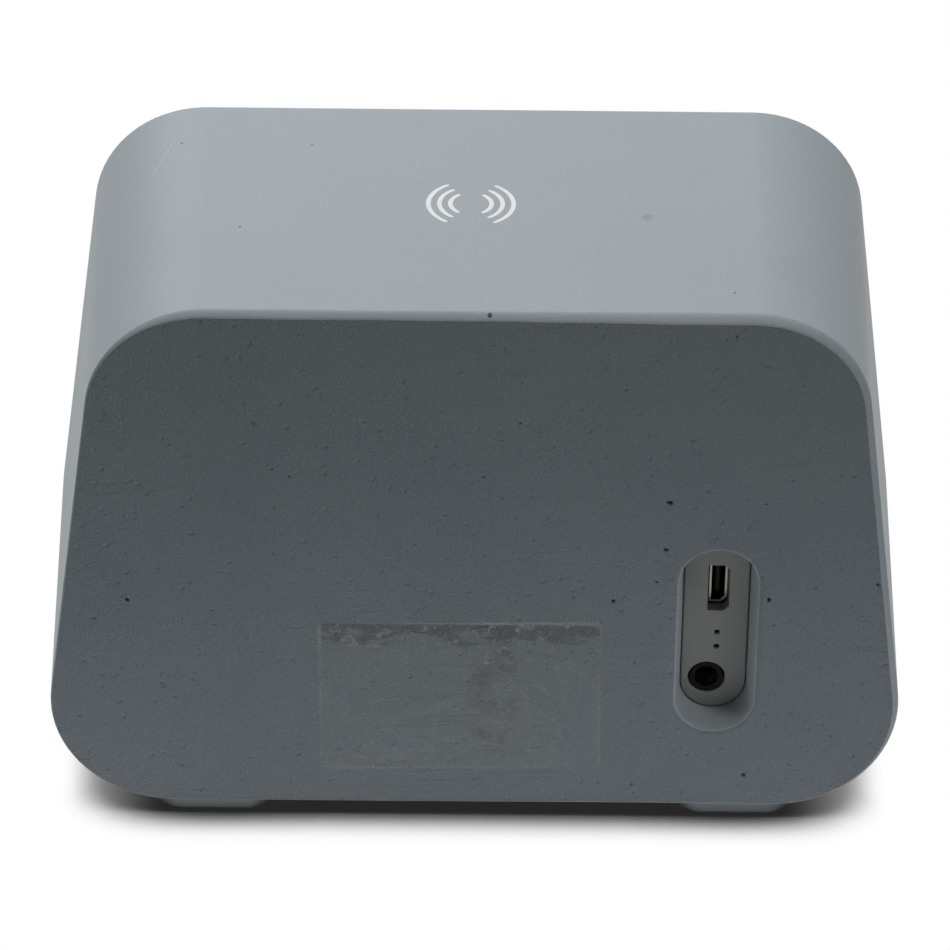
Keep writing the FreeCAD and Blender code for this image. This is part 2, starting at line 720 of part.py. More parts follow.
def jack_sleeve():
    """Metal contact sleeve inside the barrel."""
    start = Vector(JACK_X, JACK_MOUTH - JACK_LIP, JACK_Z)
    inward = AXIS_Y * -1
    outside = Part.makeCylinder(JACK_BORE_R + JACK_SLEEVE, JACK_SLEEVE_LENGTH, start, inward)
    return outside.cut(Part.makeCylinder(JACK_BORE_R, JACK_SLEEVE_LENGTH, start, inward))


def light_pipes():
    """Two clear pins behind the pinholes."""
    pins = []
    for z in led_levels():
        tip = Vector(USB_X, PANEL_Y - LIGHT_PIPE_SET_BACK, z)
        pins.append(Part.makeCylinder(LED_HOLE_R - CLOSE_GAP, LIGHT_PIPE_LENGTH, tip, AXIS_Y * -1))
    return Part.makeCompound(pins)


def status_leds():
    """Two side-looking lights on the board, just behind the pins."""
    back = min(PANEL_Y - LIGHT_PIPE_SET_BACK - LIGHT_PIPE_LENGTH - CLOSE_GAP, BOARD_EDGE)
    half = LED_SIZE / 2
    depth = USB_HEIGHT / 2 + half
    lights = []
    for z in led_levels():
        lights.append(box(BOARD_FACE_X, BOARD_FACE_X + depth, back - LED_SIZE, back, z - half, z + half))
    return Part.makeCompound(lights)


# Front closure

def grille_frame():
    """Moulded slatted frame with a border, a crossbar and four pegs."""
    inset = BAFFLE_INSET + CLOTH
    plate = front_panel(inset, FRAME_FRONT, BAFFLE_FRONT)
    window = front_panel(inset + FRAME_BORDER, FRAME_FRONT - OVERRUN, BAFFLE_FRONT + OVERRUN)
    half_count = int(half_width(FRAME_FRONT, BASE_Z) / SLAT_PITCH)
    half_bar = FRAME_CROSSBAR / 2
    gaps = []
    for i in range(-half_count, half_count + 1):
        x0, x1 = i * SLAT_PITCH - SLAT_GAP / 2, i * SLAT_PITCH + SLAT_GAP / 2
        for z0, z1 in ((BASE_Z, DRIVER_Z - half_bar), (DRIVER_Z + half_bar, TOP_Z)):
            gap = box(x0, x1, FRAME_FRONT - OVERRUN, BAFFLE_FRONT + OVERRUN, z0, z1).common(window)
            if gap.Volume > SLAT_GAP ** 2 * FRAME:
                gaps.append(gap)
    pegs = []
    for x, z in peg_spots():
        pegs.append(Part.makeCylinder(PEG_R, FRAME + PEG_LENGTH, Vector(x, FRAME_FRONT, z), AXIS_Y))
    return plate.cut(gaps).fuse(pegs).removeSplitter()


def front_panel(inset, y_front, y_back):
    """The opening's outline above the control bar, set in by a wall and clearances."""
    whole = body_block(inset, y_front, y_back)
    low = BAR_TOP + DROP_GAP + inset - BAFFLE_INSET
    low_r = max(FRAME_BORDER - (inset - BAFFLE_INSET), CLOTH)
    upper = block(inset, y_front, y_back, low_r, TOP_CORNER_R - inset, z_low=low)
    return whole.common(upper)


def grille_cloth():
    """Knitted cloth stretched over the frame's face and wrapped round its edges."""
    outside = front_panel(BAFFLE_INSET, CLOTH_FRONT, BAFFLE_FRONT)
    return outside.cut(front_panel(BAFFLE_INSET + CLOTH, FRAME_FRONT, BAFFLE_FRONT + OVERRUN))


def front_baffle():
    """Moulded plate that carries the driver, with a hollow control bar across its foot."""
    plate = body_block(BAFFLE_INSET, BAFFLE_FRONT, BAFFLE_BACK)
    raised = body_block(BAFFLE_INSET, BAR_FRONT, BAFFLE_BACK)
    reach = half_width(BAR_FRONT, BASE_Z)
    bar = raised.common(box(-reach, reach, BAR_FRONT, BAFFLE_BACK, BASE_Z, BAR_TOP))
    bar = bar.makeFillet(BAR_EDGE_R, edges_in_plane(bar, BAR_FRONT))
    baffle = plate.fuse(bar).removeSplitter()
    baffle = baffle.cut(key_chamber())
    bosses = []
    cuts = []
    boss_front = BAR_FRONT + BAR_SKIN
    board_front = BAFFLE_BACK - KEY_BOARD
    for x in (-KEY_BOARD_SCREW_X, KEY_BOARD_SCREW_X):
        boss_foot = Vector(x, boss_front, KEY_Z)
        bosses.append(Part.makeCylinder(KEY_BOSS_R, board_front - boss_front, boss_foot, AXIS_Y))
        depth = KEY_SCREW_LENGTH - KEY_BOARD + CLOSE_GAP
        pilot = Vector(x, board_front, KEY_Z)
        cuts.append(Part.makeCylinder(KEY_SCREW_R + CLOSE_GAP, depth, pilot, AXIS_Y * -1))
    baffle = baffle.fuse(bosses).removeSplitter()
    for x in key_spots().values():
        length, height = KEY_LENGTH + 2 * KEY_GAP, KEY_HEIGHT + 2 * KEY_GAP
        front, back = BAR_FRONT - OVERRUN, boss_front + OVERRUN
        cuts.append(plate_y(length, height, height / 2, x, KEY_Z, front, back))
    opening_r = SURROUND_LIP_R - BAFFLE_LIP_LAP
    holes = [(opening_r, 0, DRIVER_Z)] + [(PEG_R + CLOSE_GAP, x, z) for x, z in peg_spots()]
    for radius, x, z in holes:
        start = Vector(x, BAFFLE_FRONT - OVERRUN, z)
        cuts.append(Part.makeCylinder(radius, BAFFLE + 2 * OVERRUN, start, AXIS_Y))
    for x, z in driver_screw_spots():
        depth = DRIVER_SCREW_LENGTH - DRIVER_FLANGE - DRIVER_GASKET + CLOSE_GAP
        pilot = Vector(x, BAFFLE_BACK, z)
        cuts.append(Part.makeCylinder(DRIVER_SCREW_R + CLOSE_GAP, depth, pilot, AXIS_Y * -1))
    for x, z in baffle_screw_spots():
        cuts.append(countersunk(x, z, CLOSE_GAP, BAFFLE + OVERRUN))
    return baffle.cut(cuts)


def key_chamber():
    """The hollow behind the control bar's skin, for the keys' flanges, switches and board."""
    length = KEY_BOARD_LENGTH + 2 * DROP_GAP
    height = KEY_HEIGHT + 2 * KEY_FLANGE_LAP + 2 * KEY_GAP
    return plate_y(length, height, KEY_FLANGE, 0, KEY_Z, BAR_FRONT + BAR_SKIN, BAFFLE_BACK + OVERRUN)


def countersunk(x, z, grow, length):
    """A countersunk screw's shape, flush with the baffle's front, grown by a gap."""
    face = Vector(x, BAFFLE_FRONT, z)
    shank_r = BAFFLE_SCREW_R + grow
    head = Part.makeCone(BAFFLE_HEAD_R + grow, shank_r, BAFFLE_HEAD, face, AXIS_Y)
    return head.fuse(Part.makeCylinder(shank_r, length, face, AXIS_Y)).removeSplitter()


def baffle_screws():
    """Four countersunk screws with a drive recess."""
    screws = []
    for x, z in baffle_screw_spots():
        body = countersunk(x, z, 0, BAFFLE + GASKET + BAFFLE_SCREW_LENGTH - BAFFLE_HEAD)
        socket = Part.makeCylinder(BAFFLE_SCREW_R / 2, BAFFLE_HEAD, Vector(x, BAFFLE_FRONT, z), AXIS_Y)
        screws.append(body.cut(socket))
    return Part.makeCompound(screws)


def insert(spot, towards, bore_r, length):
    """A plain brass insert with its bore."""
    outside = Part.makeCylinder(bore_r + INSERT_WALL, length, spot, towards)
    return outside.cut(Part.makeCylinder(bore_r, length, spot, towards))


def baffle_inserts():
    """Four brass inserts cast into the shell's ledge."""
    bore_r = BAFFLE_SCREW_R + CLOSE_GAP
    inserts = [insert(Vector(x, LEDGE, z), AXIS_Y, bore_r, INSERT_LENGTH) for x, z in baffle_screw_spots()]
    return Part.makeCompound(inserts)


def baffle_gasket():
    """Foam ring between the baffle and the shell's ledge, clear of the screws."""
    outer = body_block(BAFFLE_INSET + DROP_GAP, BAFFLE_BACK, LEDGE)
    inner_inset = BAFFLE_INSET + DROP_GAP + GASKET_LAP
    inner = body_block(inner_inset, BAFFLE_BACK - OVERRUN, LEDGE + OVERRUN)
    holes = []
    for x, z in baffle_screw_spots():
        start = Vector(x, BAFFLE_BACK, z)
        holes.append(Part.makeCylinder(BAFFLE_SCREW_R + SCREW_GAP, GASKET, start, AXIS_Y))
    return outer.cut([inner] + holes)


def key(x):
    """One key: a slot shaped cap, a wider flange behind the skin and a stem for the switch."""
    skin_back = BAR_FRONT + BAR_SKIN
    flange_front = skin_back + KEY_REST_GAP
    cap_front = BAR_FRONT - KEY_PROUD
    cap = plate_y(KEY_LENGTH, KEY_HEIGHT, KEY_HEIGHT / 2, x, KEY_Z, cap_front, flange_front)
    cap = cap.makeFillet(KEY_EDGE_R, edges_in_plane(cap, cap_front))
    flange_length, flange_height = KEY_LENGTH + 2 * KEY_FLANGE_LAP, KEY_HEIGHT + 2 * KEY_FLANGE_LAP
    flange_back = flange_front + KEY_FLANGE
    flange = plate_y(flange_length, flange_height, flange_height / 2, x, KEY_Z, flange_front, flange_back)
    stem = Part.makeCylinder(KEY_STEM_R, KEY_STEM, Vector(x, flange_back, KEY_Z), AXIS_Y)
    return cap.fuse([flange, stem]).removeSplitter()


def key_board():
    """Narrow board that closes the control bar's hollow, with the switches in front."""
    height = KEY_HEIGHT + 2 * KEY_FLANGE_LAP
    front = BAFFLE_BACK - KEY_BOARD
    board = plate_y(KEY_BOARD_LENGTH, height, KEY_FLANGE, 0, KEY_Z, front, BAFFLE_BACK)
    holes = []
    for x in (-KEY_BOARD_SCREW_X, KEY_BOARD_SCREW_X):
        holes.append(Part.makeCylinder(KEY_SCREW_R + CLOSE_GAP, KEY_BOARD, Vector(x, front, KEY_Z), AXIS_Y))
    return board.cut(holes)


def key_switches():
    """Three small switches, each a body with a plunger towards its key."""
    front = BAFFLE_BACK - KEY_BOARD - SWITCH_BODY
    switches = []
    for x in key_spots().values():
        half, rise = SWITCH_LENGTH / 2, SWITCH_HEIGHT / 2
        body = box(x - half, x + half, front, front + SWITCH_BODY, KEY_Z - rise, KEY_Z + rise)
        tip = Vector(x, front - SWITCH_PLUNGER, KEY_Z)
        plunger = Part.makeCylinder(SWITCH_PLUNGER_R, SWITCH_PLUNGER, tip, AXIS_Y)
        switches.append(body.fuse(plunger).removeSplitter())
    return Part.makeCompound(switches)


def key_board_screws():
    """Two small screws from behind."""
    screws = []
    for x in (-KEY_BOARD_SCREW_X, KEY_BOARD_SCREW_X):
        seat = Vector(x, BAFFLE_BACK, KEY_Z)
        sizes = (KEY_SCREW_R, KEY_SCREW_LENGTH, KEY_SCREW_HEAD_R, KEY_SCREW_HEAD)
        screws.append(screw(seat, AXIS_Y * -1, *sizes))
    return Part.makeCompound(screws)


# Driver

def driver_basket():
    """Pressed steel basket: flange, open cone, seat for the spider and cup for the magnet."""
    seat_back = SPIDER_SEAT_DEPTH + BASKET_SHEET
    hole_r = POLE_R + AIR_GAP + BASKET_SHEET
    basket = turned([
        (BASKET_MOUTH_R, 0),
        (DRIVER_FLANGE_R, 0),
        (DRIVER_FLANGE_R, DRIVER_FLANGE),
        (FLANGE_INNER_R, DRIVER_FLANGE),
        (SPIDER_SEAT_R + BASKET_SHEET, seat_back),
        (BASKET_CUP_R + BASKET_SHEET, seat_back),
        (BASKET_CUP_R + BASKET_SHEET, BASKET_DEPTH),
        (hole_r, BASKET_DEPTH),
        (hole_r, BASKET_DEPTH - BASKET_SHEET),
        (BASKET_CUP_R, BASKET_DEPTH - BASKET_SHEET),
        (BASKET_CUP_R, SPIDER_SEAT_DEPTH),
        (SPIDER_SEAT_R, SPIDER_SEAT_DEPTH),
        (BASKET_MOUTH_R, DRIVER_FLANGE),
    ])
    centre = Vector(0, 0, DRIVER_Z)
    half = DRIVER_WINDOW_SHARE * DRIVER_FLANGE_R / 2
    front = DRIVER_FACE + DRIVER_FLANGE + BASKET_SHEET
    back = DRIVER_FACE + SPIDER_SEAT_DEPTH - BASKET_SHEET
    cuts = []
    for i in range(4):
        window = box(BASKET_CUP_R, DRIVER_FLANGE_R, front, back, DRIVER_Z - half, DRIVER_Z + half)
        window.rotate(centre, AXIS_Y, 90 * i)
        cuts.append(window)
    for x, z in driver_screw_spots():
        start = Vector(x, DRIVER_FACE, z)
        cuts.append(Part.makeCylinder(DRIVER_SCREW_R + SCREW_GAP, DRIVER_FLANGE, start, AXIS_Y))
    return basket.cut(cuts)


def driver_gasket():
    """Foam ring between the driver's flange and the baffle."""
    foam = ring(SURROUND_LIP_R + DROP_GAP, DRIVER_FLANGE_R, -DRIVER_GASKET, 0)
    holes = []
    for x, z in driver_screw_spots():
        start = Vector(x, BAFFLE_BACK, z)
        holes.append(Part.makeCylinder(DRIVER_SCREW_R + SCREW_GAP, DRIVER_GASKET, start, AXIS_Y))
    return foam.cut(holes)


def driver_screws():
    """Four screws from behind, through the flange into the baffle."""
    screws = []
    for x, z in driver_screw_spots():
        seat = Vector(x, DRIVER_FACE + DRIVER_FLANGE, z)
        sizes = (DRIVER_SCREW_R, DRIVER_SCREW_LENGTH, DRIVER_SCREW_HEAD_R, DRIVER_SCREW_HEAD)
        screws.append(screw(seat, AXIS_Y * -1, *sizes))
    return Part.makeCompound(screws)


def top_plate():
    """Steel washer round the voice coil gap."""
    return ring(POLE_R + AIR_GAP, TOP_PLATE_R, BASKET_DEPTH, BASKET_DEPTH + TOP_PLATE)


def magnet():
    """Ferrite ring."""
    front = BASKET_DEPTH + TOP_PLATE
    return ring(MAGNET_HOLE_R, MAGNET_R, front, front + MAGNET)


def yoke():
    """Back plate and pole in one turned piece."""
    front = BASKET_DEPTH + TOP_PLATE + MAGNET
    return turned([
        (0, BASKET_DEPTH),
        (POLE_R, BASKET_DEPTH),
        (POLE_R, front),
        (TOP_PLATE_R, front),
        (TOP_PLATE_R, front + YOKE),
        (0, front + YOKE),
    ])


def former_r():
    """Outer radius of the voice coil's former."""
    return POLE_R + FORMER_GAP + FORMER_SHEET


def winding_back():
    """Depth of the winding's end: the winding is centred on the top plate."""
    return BASKET_DEPTH + TOP_PLATE / 2 + WINDING_LENGTH / 2


def cone_neck_depth():
    """Depth of the cone's front face at its neck."""
    return CONE_EDGE_DEPTH + CONE_RISE


def coil_former():
    """Thin tube between the cone and the voice coil."""
    return ring(former_r() - FORMER_SHEET, former_r(), cone_neck_depth() - CONE_PAPER, winding_back())


def voice_coil():
    """Copper winding on the former."""
    return ring(former_r(), former_r() + WINDING, winding_back() - WINDING_LENGTH, winding_back())


def cone():
    """Shallow paper cone."""
    neck = former_r() + CLOSE_GAP
    return turned([
        (neck, cone_neck_depth()),
        (neck, cone_neck_depth() + CONE_PAPER),
        (CONE_R, CONE_EDGE_DEPTH + CONE_PAPER),
        (CONE_R, CONE_EDGE_DEPTH),
    ])


def dust_cap():
    """Domed cap over the voice coil, standing on the cone."""
    slope = CONE_RISE / (CONE_R - former_r() - CLOSE_GAP)
    foot_depth = CONE_EDGE_DEPTH + slope * (CONE_R - CAP_R) - CLOSE_GAP
    outer = dome_arc(CAP_R, foot_depth, CAP_RISE)
    inner = dome_arc(CAP_R - CAP_PAPER, foot_depth, CAP_RISE - CAP_PAPER)
    edges = [
        outer.toShape(),
        Part.LineSegment(outer.EndPoint, inner.EndPoint).toShape(),
        inner.toShape(),
        Part.LineSegment(inner.StartPoint, outer.StartPoint).toShape(),
    ]
    return spin(Part.Wire(Part.__sortEdges__(edges)))


def dome_arc(radius, foot_depth, rise):
    """Half of a dome's section, from its foot to its crown."""
    sphere_r = (radius ** 2 + rise ** 2) / (2 * rise)
    half_angle = math.asin(radius / sphere_r) / 2
    centre_depth = foot_depth - rise + sphere_r
    middle = Vector(sphere_r * math.sin(half_angle), centre_depth - sphere_r * math.cos(half_angle), 0)
    return Part.Arc(Vector(radius, foot_depth, 0), middle, Vector(0, foot_depth - rise, 0))


def surround():
    """Rubber half roll between the cone's edge and the flange."""
    lip_back = CONE_EDGE_DEPTH - CLOSE_GAP
    lip_front = lip_back - SURROUND_SHEET
    inner_r = CONE_R - 2 * SURROUND_SHEET
    crown_r = (CONE_R + BASKET_MOUTH_R) / 2
    start = Vector(CONE_R - SURROUND_SHEET / 2, lip_front, 0)
    end = Vector(BASKET_MOUTH_R, -SURROUND_SHEET, 0)
    inner_start = Vector(BASKET_MOUTH_R - SURROUND_SHEET / 2, 0, 0)
    inner_end = Vector(CONE_R, lip_back, 0)
    lip_tip = [Vector(inner_r, lip_back, 0), Vector(inner_r, lip_front, 0)]
    rim = [Vector(SURROUND_LIP_R, -SURROUND_SHEET, 0), Vector(SURROUND_LIP_R, 0, 0)]
    edges = [
        Part.LineSegment(lip_tip[1], start),
        Part.Arc(start, Vector(crown_r, -SURROUND_ROLL - SURROUND_SHEET, 0), end),
        Part.LineSegment(end, rim[0]),
        Part.LineSegment(rim[0], rim[1]),
        Part.LineSegment(rim[1], inner_start),
        Part.Arc(inner_start, Vector(crown_r, -SURROUND_ROLL, 0), inner_end),
        Part.LineSegment(inner_end, lip_tip[0]),
        Part.LineSegment(lip_tip[0], lip_tip[1]),
    ]
    return spin(Part.Wire([edge.toShape() for edge in edges]))


def spider():
    """Corrugated disc that centres the voice coil, glued to the basket's seat."""
    inner = former_r() + 2 * CLOSE_GAP
    outer = BASKET_CUP_R
    level = SPIDER_SEAT_DEPTH - SPIDER_SHEET
    front = []
    for i in range(2 * SPIDER_WAVES + 1):
        r = inner + (outer - inner) * i / (2 * SPIDER_WAVES)
        front.append((r, level - SPIDER_WAVE * (i % 2)))
    front.append((SPIDER_SEAT_R - SPIDER_SHEET, level))
    back = [(r, depth + SPIDER_SHEET) for r, depth in reversed(front)]
    return turned(front + back)


def terminal_strip():
    """Small fibre strip on the flange's back, under the basket."""
    half = TERMINAL_WIDTH / 2
    front = DRIVER_FACE + DRIVER_FLANGE
    low, high = tab_z() - TERMINAL_SPAN / 2, tab_z() + TERMINAL_SPAN / 2
    return box(-half, half, front, front + TERMINAL_SHEET, low, high)


def tab_z():
    """Height of the terminal tabs, in the middle of their strip."""
    return DRIVER_Z - DRIVER_FLANGE_R + TERMINAL_EDGE_GAP + TERMINAL_SPAN / 2


def tab_back():
    """Depth of the tabs' free ends, where the leads are soldered."""
    return DRIVER_FACE + DRIVER_FLANGE + TERMINAL_SHEET + TAB_LENGTH


def terminal_tabs():
    """Two brass solder tabs on the strip."""
    tabs = []
    for x in (-TAB_SPREAD, TAB_SPREAD):
        half, thick = TAB_WIDTH / 2, TAB_SHEET / 2
        front = tab_back() - TAB_LENGTH
        tabs.append(box(x - half, x + half, front, tab_back(), tab_z() - thick, tab_z() + thick))
    return Part.makeCompound(tabs)


# Electronics

def main_board():
    """Circuit board on edge, with a tongue into the panel that carries the socket."""
    board = box(BOARD_BACK_X, BOARD_FACE_X, BOARD_EDGE - BOARD_LENGTH, BOARD_EDGE, BOARD_LOW, BOARD_HIGH)
    half = BOARD_TONGUE / 2
    tongue = box(BOARD_BACK_X, BOARD_FACE_X, BOARD_EDGE, USB_MOUTH, USB_Z - half, USB_Z + half)
    board = board.fuse(tongue).removeSplitter()
    holes = []
    for y, z in board_screw_spots():
        start = Vector(BOARD_BACK_X, y, z)
        holes.append(Part.makeCylinder(BOARD_SCREW_R + CLOSE_GAP, BOARD, start, AXIS_X))
    return board.cut(holes)


def board_screws():
    """Two screws through the board into the panel's lugs."""
    screws = []
    for y, z in board_screw_spots():
        seat = Vector(BOARD_FACE_X, y, z)
        sizes = (BOARD_SCREW_R, BOARD_SCREW_LENGTH, BOARD_SCREW_HEAD_R, BOARD_SCREW_HEAD)
        screws.append(screw(seat, AXIS_X * -1, *sizes))
    return Part.makeCompound(screws)


def radio_module():
    """Shielded radio module near the board's inner edge."""
    y = BOARD_EDGE - BOARD_LENGTH + BOARD_PART_GAP
    z = USB_Z - RADIO_HEIGHT / 2
    return box(BOARD_FACE_X, BOARD_FACE_X + RADIO_DEPTH, y, y + RADIO_LENGTH, z, z + RADIO_HEIGHT)


def amplifier_chip():
    """Flat amplifier chip between the module and the jack."""
    y = BOARD_EDGE - LED_SIZE - AMP_SIZE
    z = LED_Z
    half = AMP_SIZE / 2
    return box(BOARD_FACE_X, BOARD_FACE_X + AMP_DEPTH, y - half, y + half, z - half, z + half)


def capacitors():
    """Two capacitors standing on the board below the module."""
    y = BOARD_EDGE - BOARD_LENGTH + BOARD_PART_GAP + CAPACITOR_R
    cans = []
    for i in range(2):
        foot_point = Vector(BOARD_FACE_X, y + i * CAPACITOR_PITCH, LED_Z - LED_PITCH)
        cans.append(Part.makeCylinder(CAPACITOR_R, CAPACITOR_LENGTH, foot_point, AXIS_X))
    return Part.makeCompound(cans)


def battery():
    """Flat pouch battery with soft edges."""
    high = BATTERY_LOW + BATTERY_HEIGHT
    return plate_z(
        BATTERY_LENGTH, BATTERY_WIDTH, BATTERY_EDGE_R, battery_x(), BATTERY_Y, BATTERY_LOW, high
    )


def battery_pad():
    """Foam pad with adhesive that holds the battery to the floor."""
    length, width = BATTERY_LENGTH - 2 * BATTERY_PAD_INSET, BATTERY_WIDTH - 2 * BATTERY_PAD_INSET
    return plate_z(length, width, BATTERY_EDGE_R, battery_x(), BATTERY_Y, FLOOR_Z, BATTERY_LOW)


# Wireless charger

def charging_coil():
    """Flat wound coil just under the top."""
    outside = Part.makeCylinder(COIL_R, COIL, Vector(0, 0, FERRITE_TOP), AXIS_Z)
    return outside.cut(Part.makeCylinder(COIL_HOLE_R, COIL, Vector(0, 0, FERRITE_TOP), AXIS_Z))


def ferrite_disc():
    """Ferrite sheet under the coil."""
    return Part.makeCylinder(FERRITE_R, FERRITE, Vector(0, 0, TRAY_RIM_TOP), AXIS_Z)


def coil_tray():
    """Moulded tray screwed to the ceiling: a rim lifts the ferrite, standoffs hang the board."""
    plate = plate_z(tray_length(), TRAY_WIDTH, TRAY_R, 0, 0, TRAY_LOW, CEILING_Z)
    rim_height = TRAY_RIM_TOP - TRAY_LOW
    start = Vector(0, 0, TRAY_LOW)
    rim_r = min(FERRITE_R, TRAY_WIDTH / 2)
    rim = Part.makeCylinder(rim_r, rim_height, start, AXIS_Z)
    core = Part.makeCylinder(rim_r - TRAY_RIB, TRAY_RIM_TOP - CEILING_Z, Vector(0, 0, CEILING_Z), AXIS_Z)
    standoffs = []
    cuts = [core]
    for x, y in charger_screw_spots():
        foot_point = Vector(x, y, CHARGER_TOP)
        standoffs.append(Part.makeCylinder(CHARGER_STANDOFF_R, CHARGER_STANDOFF, foot_point, AXIS_Z))
        depth = CHARGER_SCREW_LENGTH - CHARGER_BOARD + CLOSE_GAP
        cuts.append(Part.makeCylinder(CHARGER_SCREW_R + CLOSE_GAP, depth, foot_point, AXIS_Z))
    for x, y in tray_screw_spots():
        cuts.append(Part.makeCylinder(TRAY_SCREW_R + SCREW_GAP, TRAY, Vector(x, y, TRAY_LOW), AXIS_Z))
    return plate.fuse([rim] + standoffs).removeSplitter().cut(cuts)


def tray_screws():
    """Four screws up through the tray."""
    screws = []
    for x, y in tray_screw_spots():
        seat = Vector(x, y, TRAY_LOW)
        sizes = (TRAY_SCREW_R, TRAY_SCREW_LENGTH, TRAY_SCREW_HEAD_R, TRAY_SCREW_HEAD)
        screws.append(screw(seat, AXIS_Z, *sizes))
    return Part.makeCompound(screws)


def tray_inserts():
    """Four brass inserts cast into the ceiling."""
    bore_r = TRAY_SCREW_R + CLOSE_GAP
    inserts = []
    for x, y in tray_screw_spots():
        inserts.append(insert(Vector(x, y, CEILING_Z), AXIS_Z, bore_r, TRAY_INSERT_LENGTH))
    return Part.makeCompound(inserts)


def charger_board():
    """Charger circuit board under the tray."""
    board = plate_z(CHARGER_LENGTH, CHARGER_WIDTH, BATTERY_EDGE_R, 0, 0, CHARGER_LOW, CHARGER_TOP)
    holes = []
    for x, y in charger_screw_spots():
        start = Vector(x, y, CHARGER_LOW)
        holes.append(Part.makeCylinder(CHARGER_SCREW_R + CLOSE_GAP, CHARGER_BOARD, start, AXIS_Z))
    return board.cut(holes)


def charger_screws():
    """Four screws up into the tray's standoffs."""
    screws = []
    for x, y in charger_screw_spots():
        seat = Vector(x, y, CHARGER_LOW)
        sizes = (CHARGER_SCREW_R, CHARGER_SCREW_LENGTH, CHARGER_SCREW_HEAD_R, CHARGER_SCREW_HEAD)
        screws.append(screw(seat, AXIS_Z, *sizes))
    return Part.makeCompound(screws)


def charger_chips():
    """Two chips under the charger board."""
    half = CHIP_SIZE / 2
    low = CHARGER_LOW - CHIP_DEPTH
    chips = []
    for x in (-CHIP_PITCH / 2, CHIP_PITCH / 2):
        chips.append(box(x - half, x + half, -half, half, low, CHARGER_LOW))
    return Part.makeCompound(chips)


# Leads inside the shell

def speaker_leads():
    """From the driver's tabs, back under the magnet and across to the board."""
    leads = []
    for side, x in ((-1, -TAB_SPREAD), (1, TAB_SPREAD)):
        y_turn = BOARD_EDGE - BOARD_LENGTH + CAPACITOR_R + side * LEAD_PITCH / 2
        z = tab_z()
        points = [Vector(x, tab_back(), z), Vector(x, y_turn, z), Vector(BOARD_FACE_X, y_turn, z)]
        leads.append(lead(points))
    return Part.makeCompound(leads)


def battery_leads():
    """From the battery's end straight across to the foot of the board."""
    z = BATTERY_LOW + BATTERY_HEIGHT / 2
    end = battery_x() - BATTERY_LENGTH / 2
    leads = []
    for side in (-1, 1):
        y = BATTERY_Y + side * LEAD_PITCH / 2
        leads.append(lead([Vector(end, y, z), Vector(BOARD_FACE_X, y, z)]))
    return Part.makeCompound(leads)


def charger_leads():
    """From the board's upper edge up to the end of the charger board."""
    z_low = BOARD_HIGH - 2 * LEAD_R
    z_high = (CHARGER_LOW + CHARGER_TOP) / 2
    end = -CHARGER_LENGTH / 2
    turn = (BOARD_FACE_X + end) / 2
    leads = []
    for side in (-1, 1):
        y = side * LEAD_PITCH / 2
        path = ((BOARD_FACE_X, z_low), (turn, z_low), (turn, z_high), (end, z_high))
        leads.append(lead([Vector(x, y, z) for x, z in path]))
    return Part.makeCompound(leads)


PIECES = [
    concrete_shell, port_panel, light_pipes, usb_shell, usb_tongue, aux_jack, jack_sleeve, status_leds,
    grille_frame, grille_cloth, front_baffle, baffle_screws, baffle_inserts, baffle_gasket,
    key_board, key_switches, key_board_screws,
    driver_basket, driver_gasket, driver_screws, top_plate, magnet, yoke, coil_former, voice_coil,
    cone, dust_cap, surround, spider, terminal_strip, terminal_tabs,
    main_board, board_screws, radio_module, amplifier_chip, capacitors, battery, battery_pad,
    charging_coil, ferrite_disc, coil_tray, tray_screws, tray_inserts,
    charger_board, charger_screws, charger_chips, speaker_leads, battery_leads, charger_leads,
]


def build():
    """Every piece of the speaker by name."""
    pieces = {make.__name__: make() for make in PIECES}
    for name, (x, y) in foot_spots().items():
        pieces[name] = foot(x, y)
    for name, x in key_spots().items():
        pieces[name] = key(x)
    return pieces


os.makedirs("parts", exist_ok=True)
for name, shape in build().items():
    shape.exportStep("parts/" + name + ".step")
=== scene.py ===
import math

import bmesh
import bpy
from mathutils import Matrix, Quaternion, Vector, noise
from mathutils.kdtree import KDTree


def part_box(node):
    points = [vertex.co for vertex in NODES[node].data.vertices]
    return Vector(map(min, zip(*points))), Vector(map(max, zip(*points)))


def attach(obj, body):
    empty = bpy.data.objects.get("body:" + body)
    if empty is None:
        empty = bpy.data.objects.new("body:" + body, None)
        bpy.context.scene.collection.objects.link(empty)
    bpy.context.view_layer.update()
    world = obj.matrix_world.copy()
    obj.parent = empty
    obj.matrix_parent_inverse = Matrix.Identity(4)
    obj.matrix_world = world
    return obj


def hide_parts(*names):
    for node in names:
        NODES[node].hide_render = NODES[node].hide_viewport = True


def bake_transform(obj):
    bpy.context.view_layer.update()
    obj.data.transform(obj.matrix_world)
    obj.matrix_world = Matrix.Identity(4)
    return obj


# Desk speaker of cast cement with a wireless charging pad in its top.
# Metres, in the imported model's own frame: the grille faces -Y, the ports face +Y, the table is z = 0.

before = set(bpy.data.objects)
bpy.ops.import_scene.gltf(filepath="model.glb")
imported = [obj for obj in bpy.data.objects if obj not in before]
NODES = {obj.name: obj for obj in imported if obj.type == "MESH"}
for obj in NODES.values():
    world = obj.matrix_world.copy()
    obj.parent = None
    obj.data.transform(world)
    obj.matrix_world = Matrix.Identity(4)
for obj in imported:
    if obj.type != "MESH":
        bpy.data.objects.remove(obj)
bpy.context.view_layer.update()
MM = 0.001
WELD = 2e-6

SHELL_LOW, SHELL_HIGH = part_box("concrete_shell")
BACK_Y = SHELL_HIGH.y
TOP_Z = SHELL_HIGH.z
BASE_Z = SHELL_LOW.z
AXIS_X = Vector((1, 0, 0))
AXIS_Y = Vector((0, 1, 0))
AXIS_Z = Vector((0, 0, 1))
ORIGIN = (0, 0, 0)

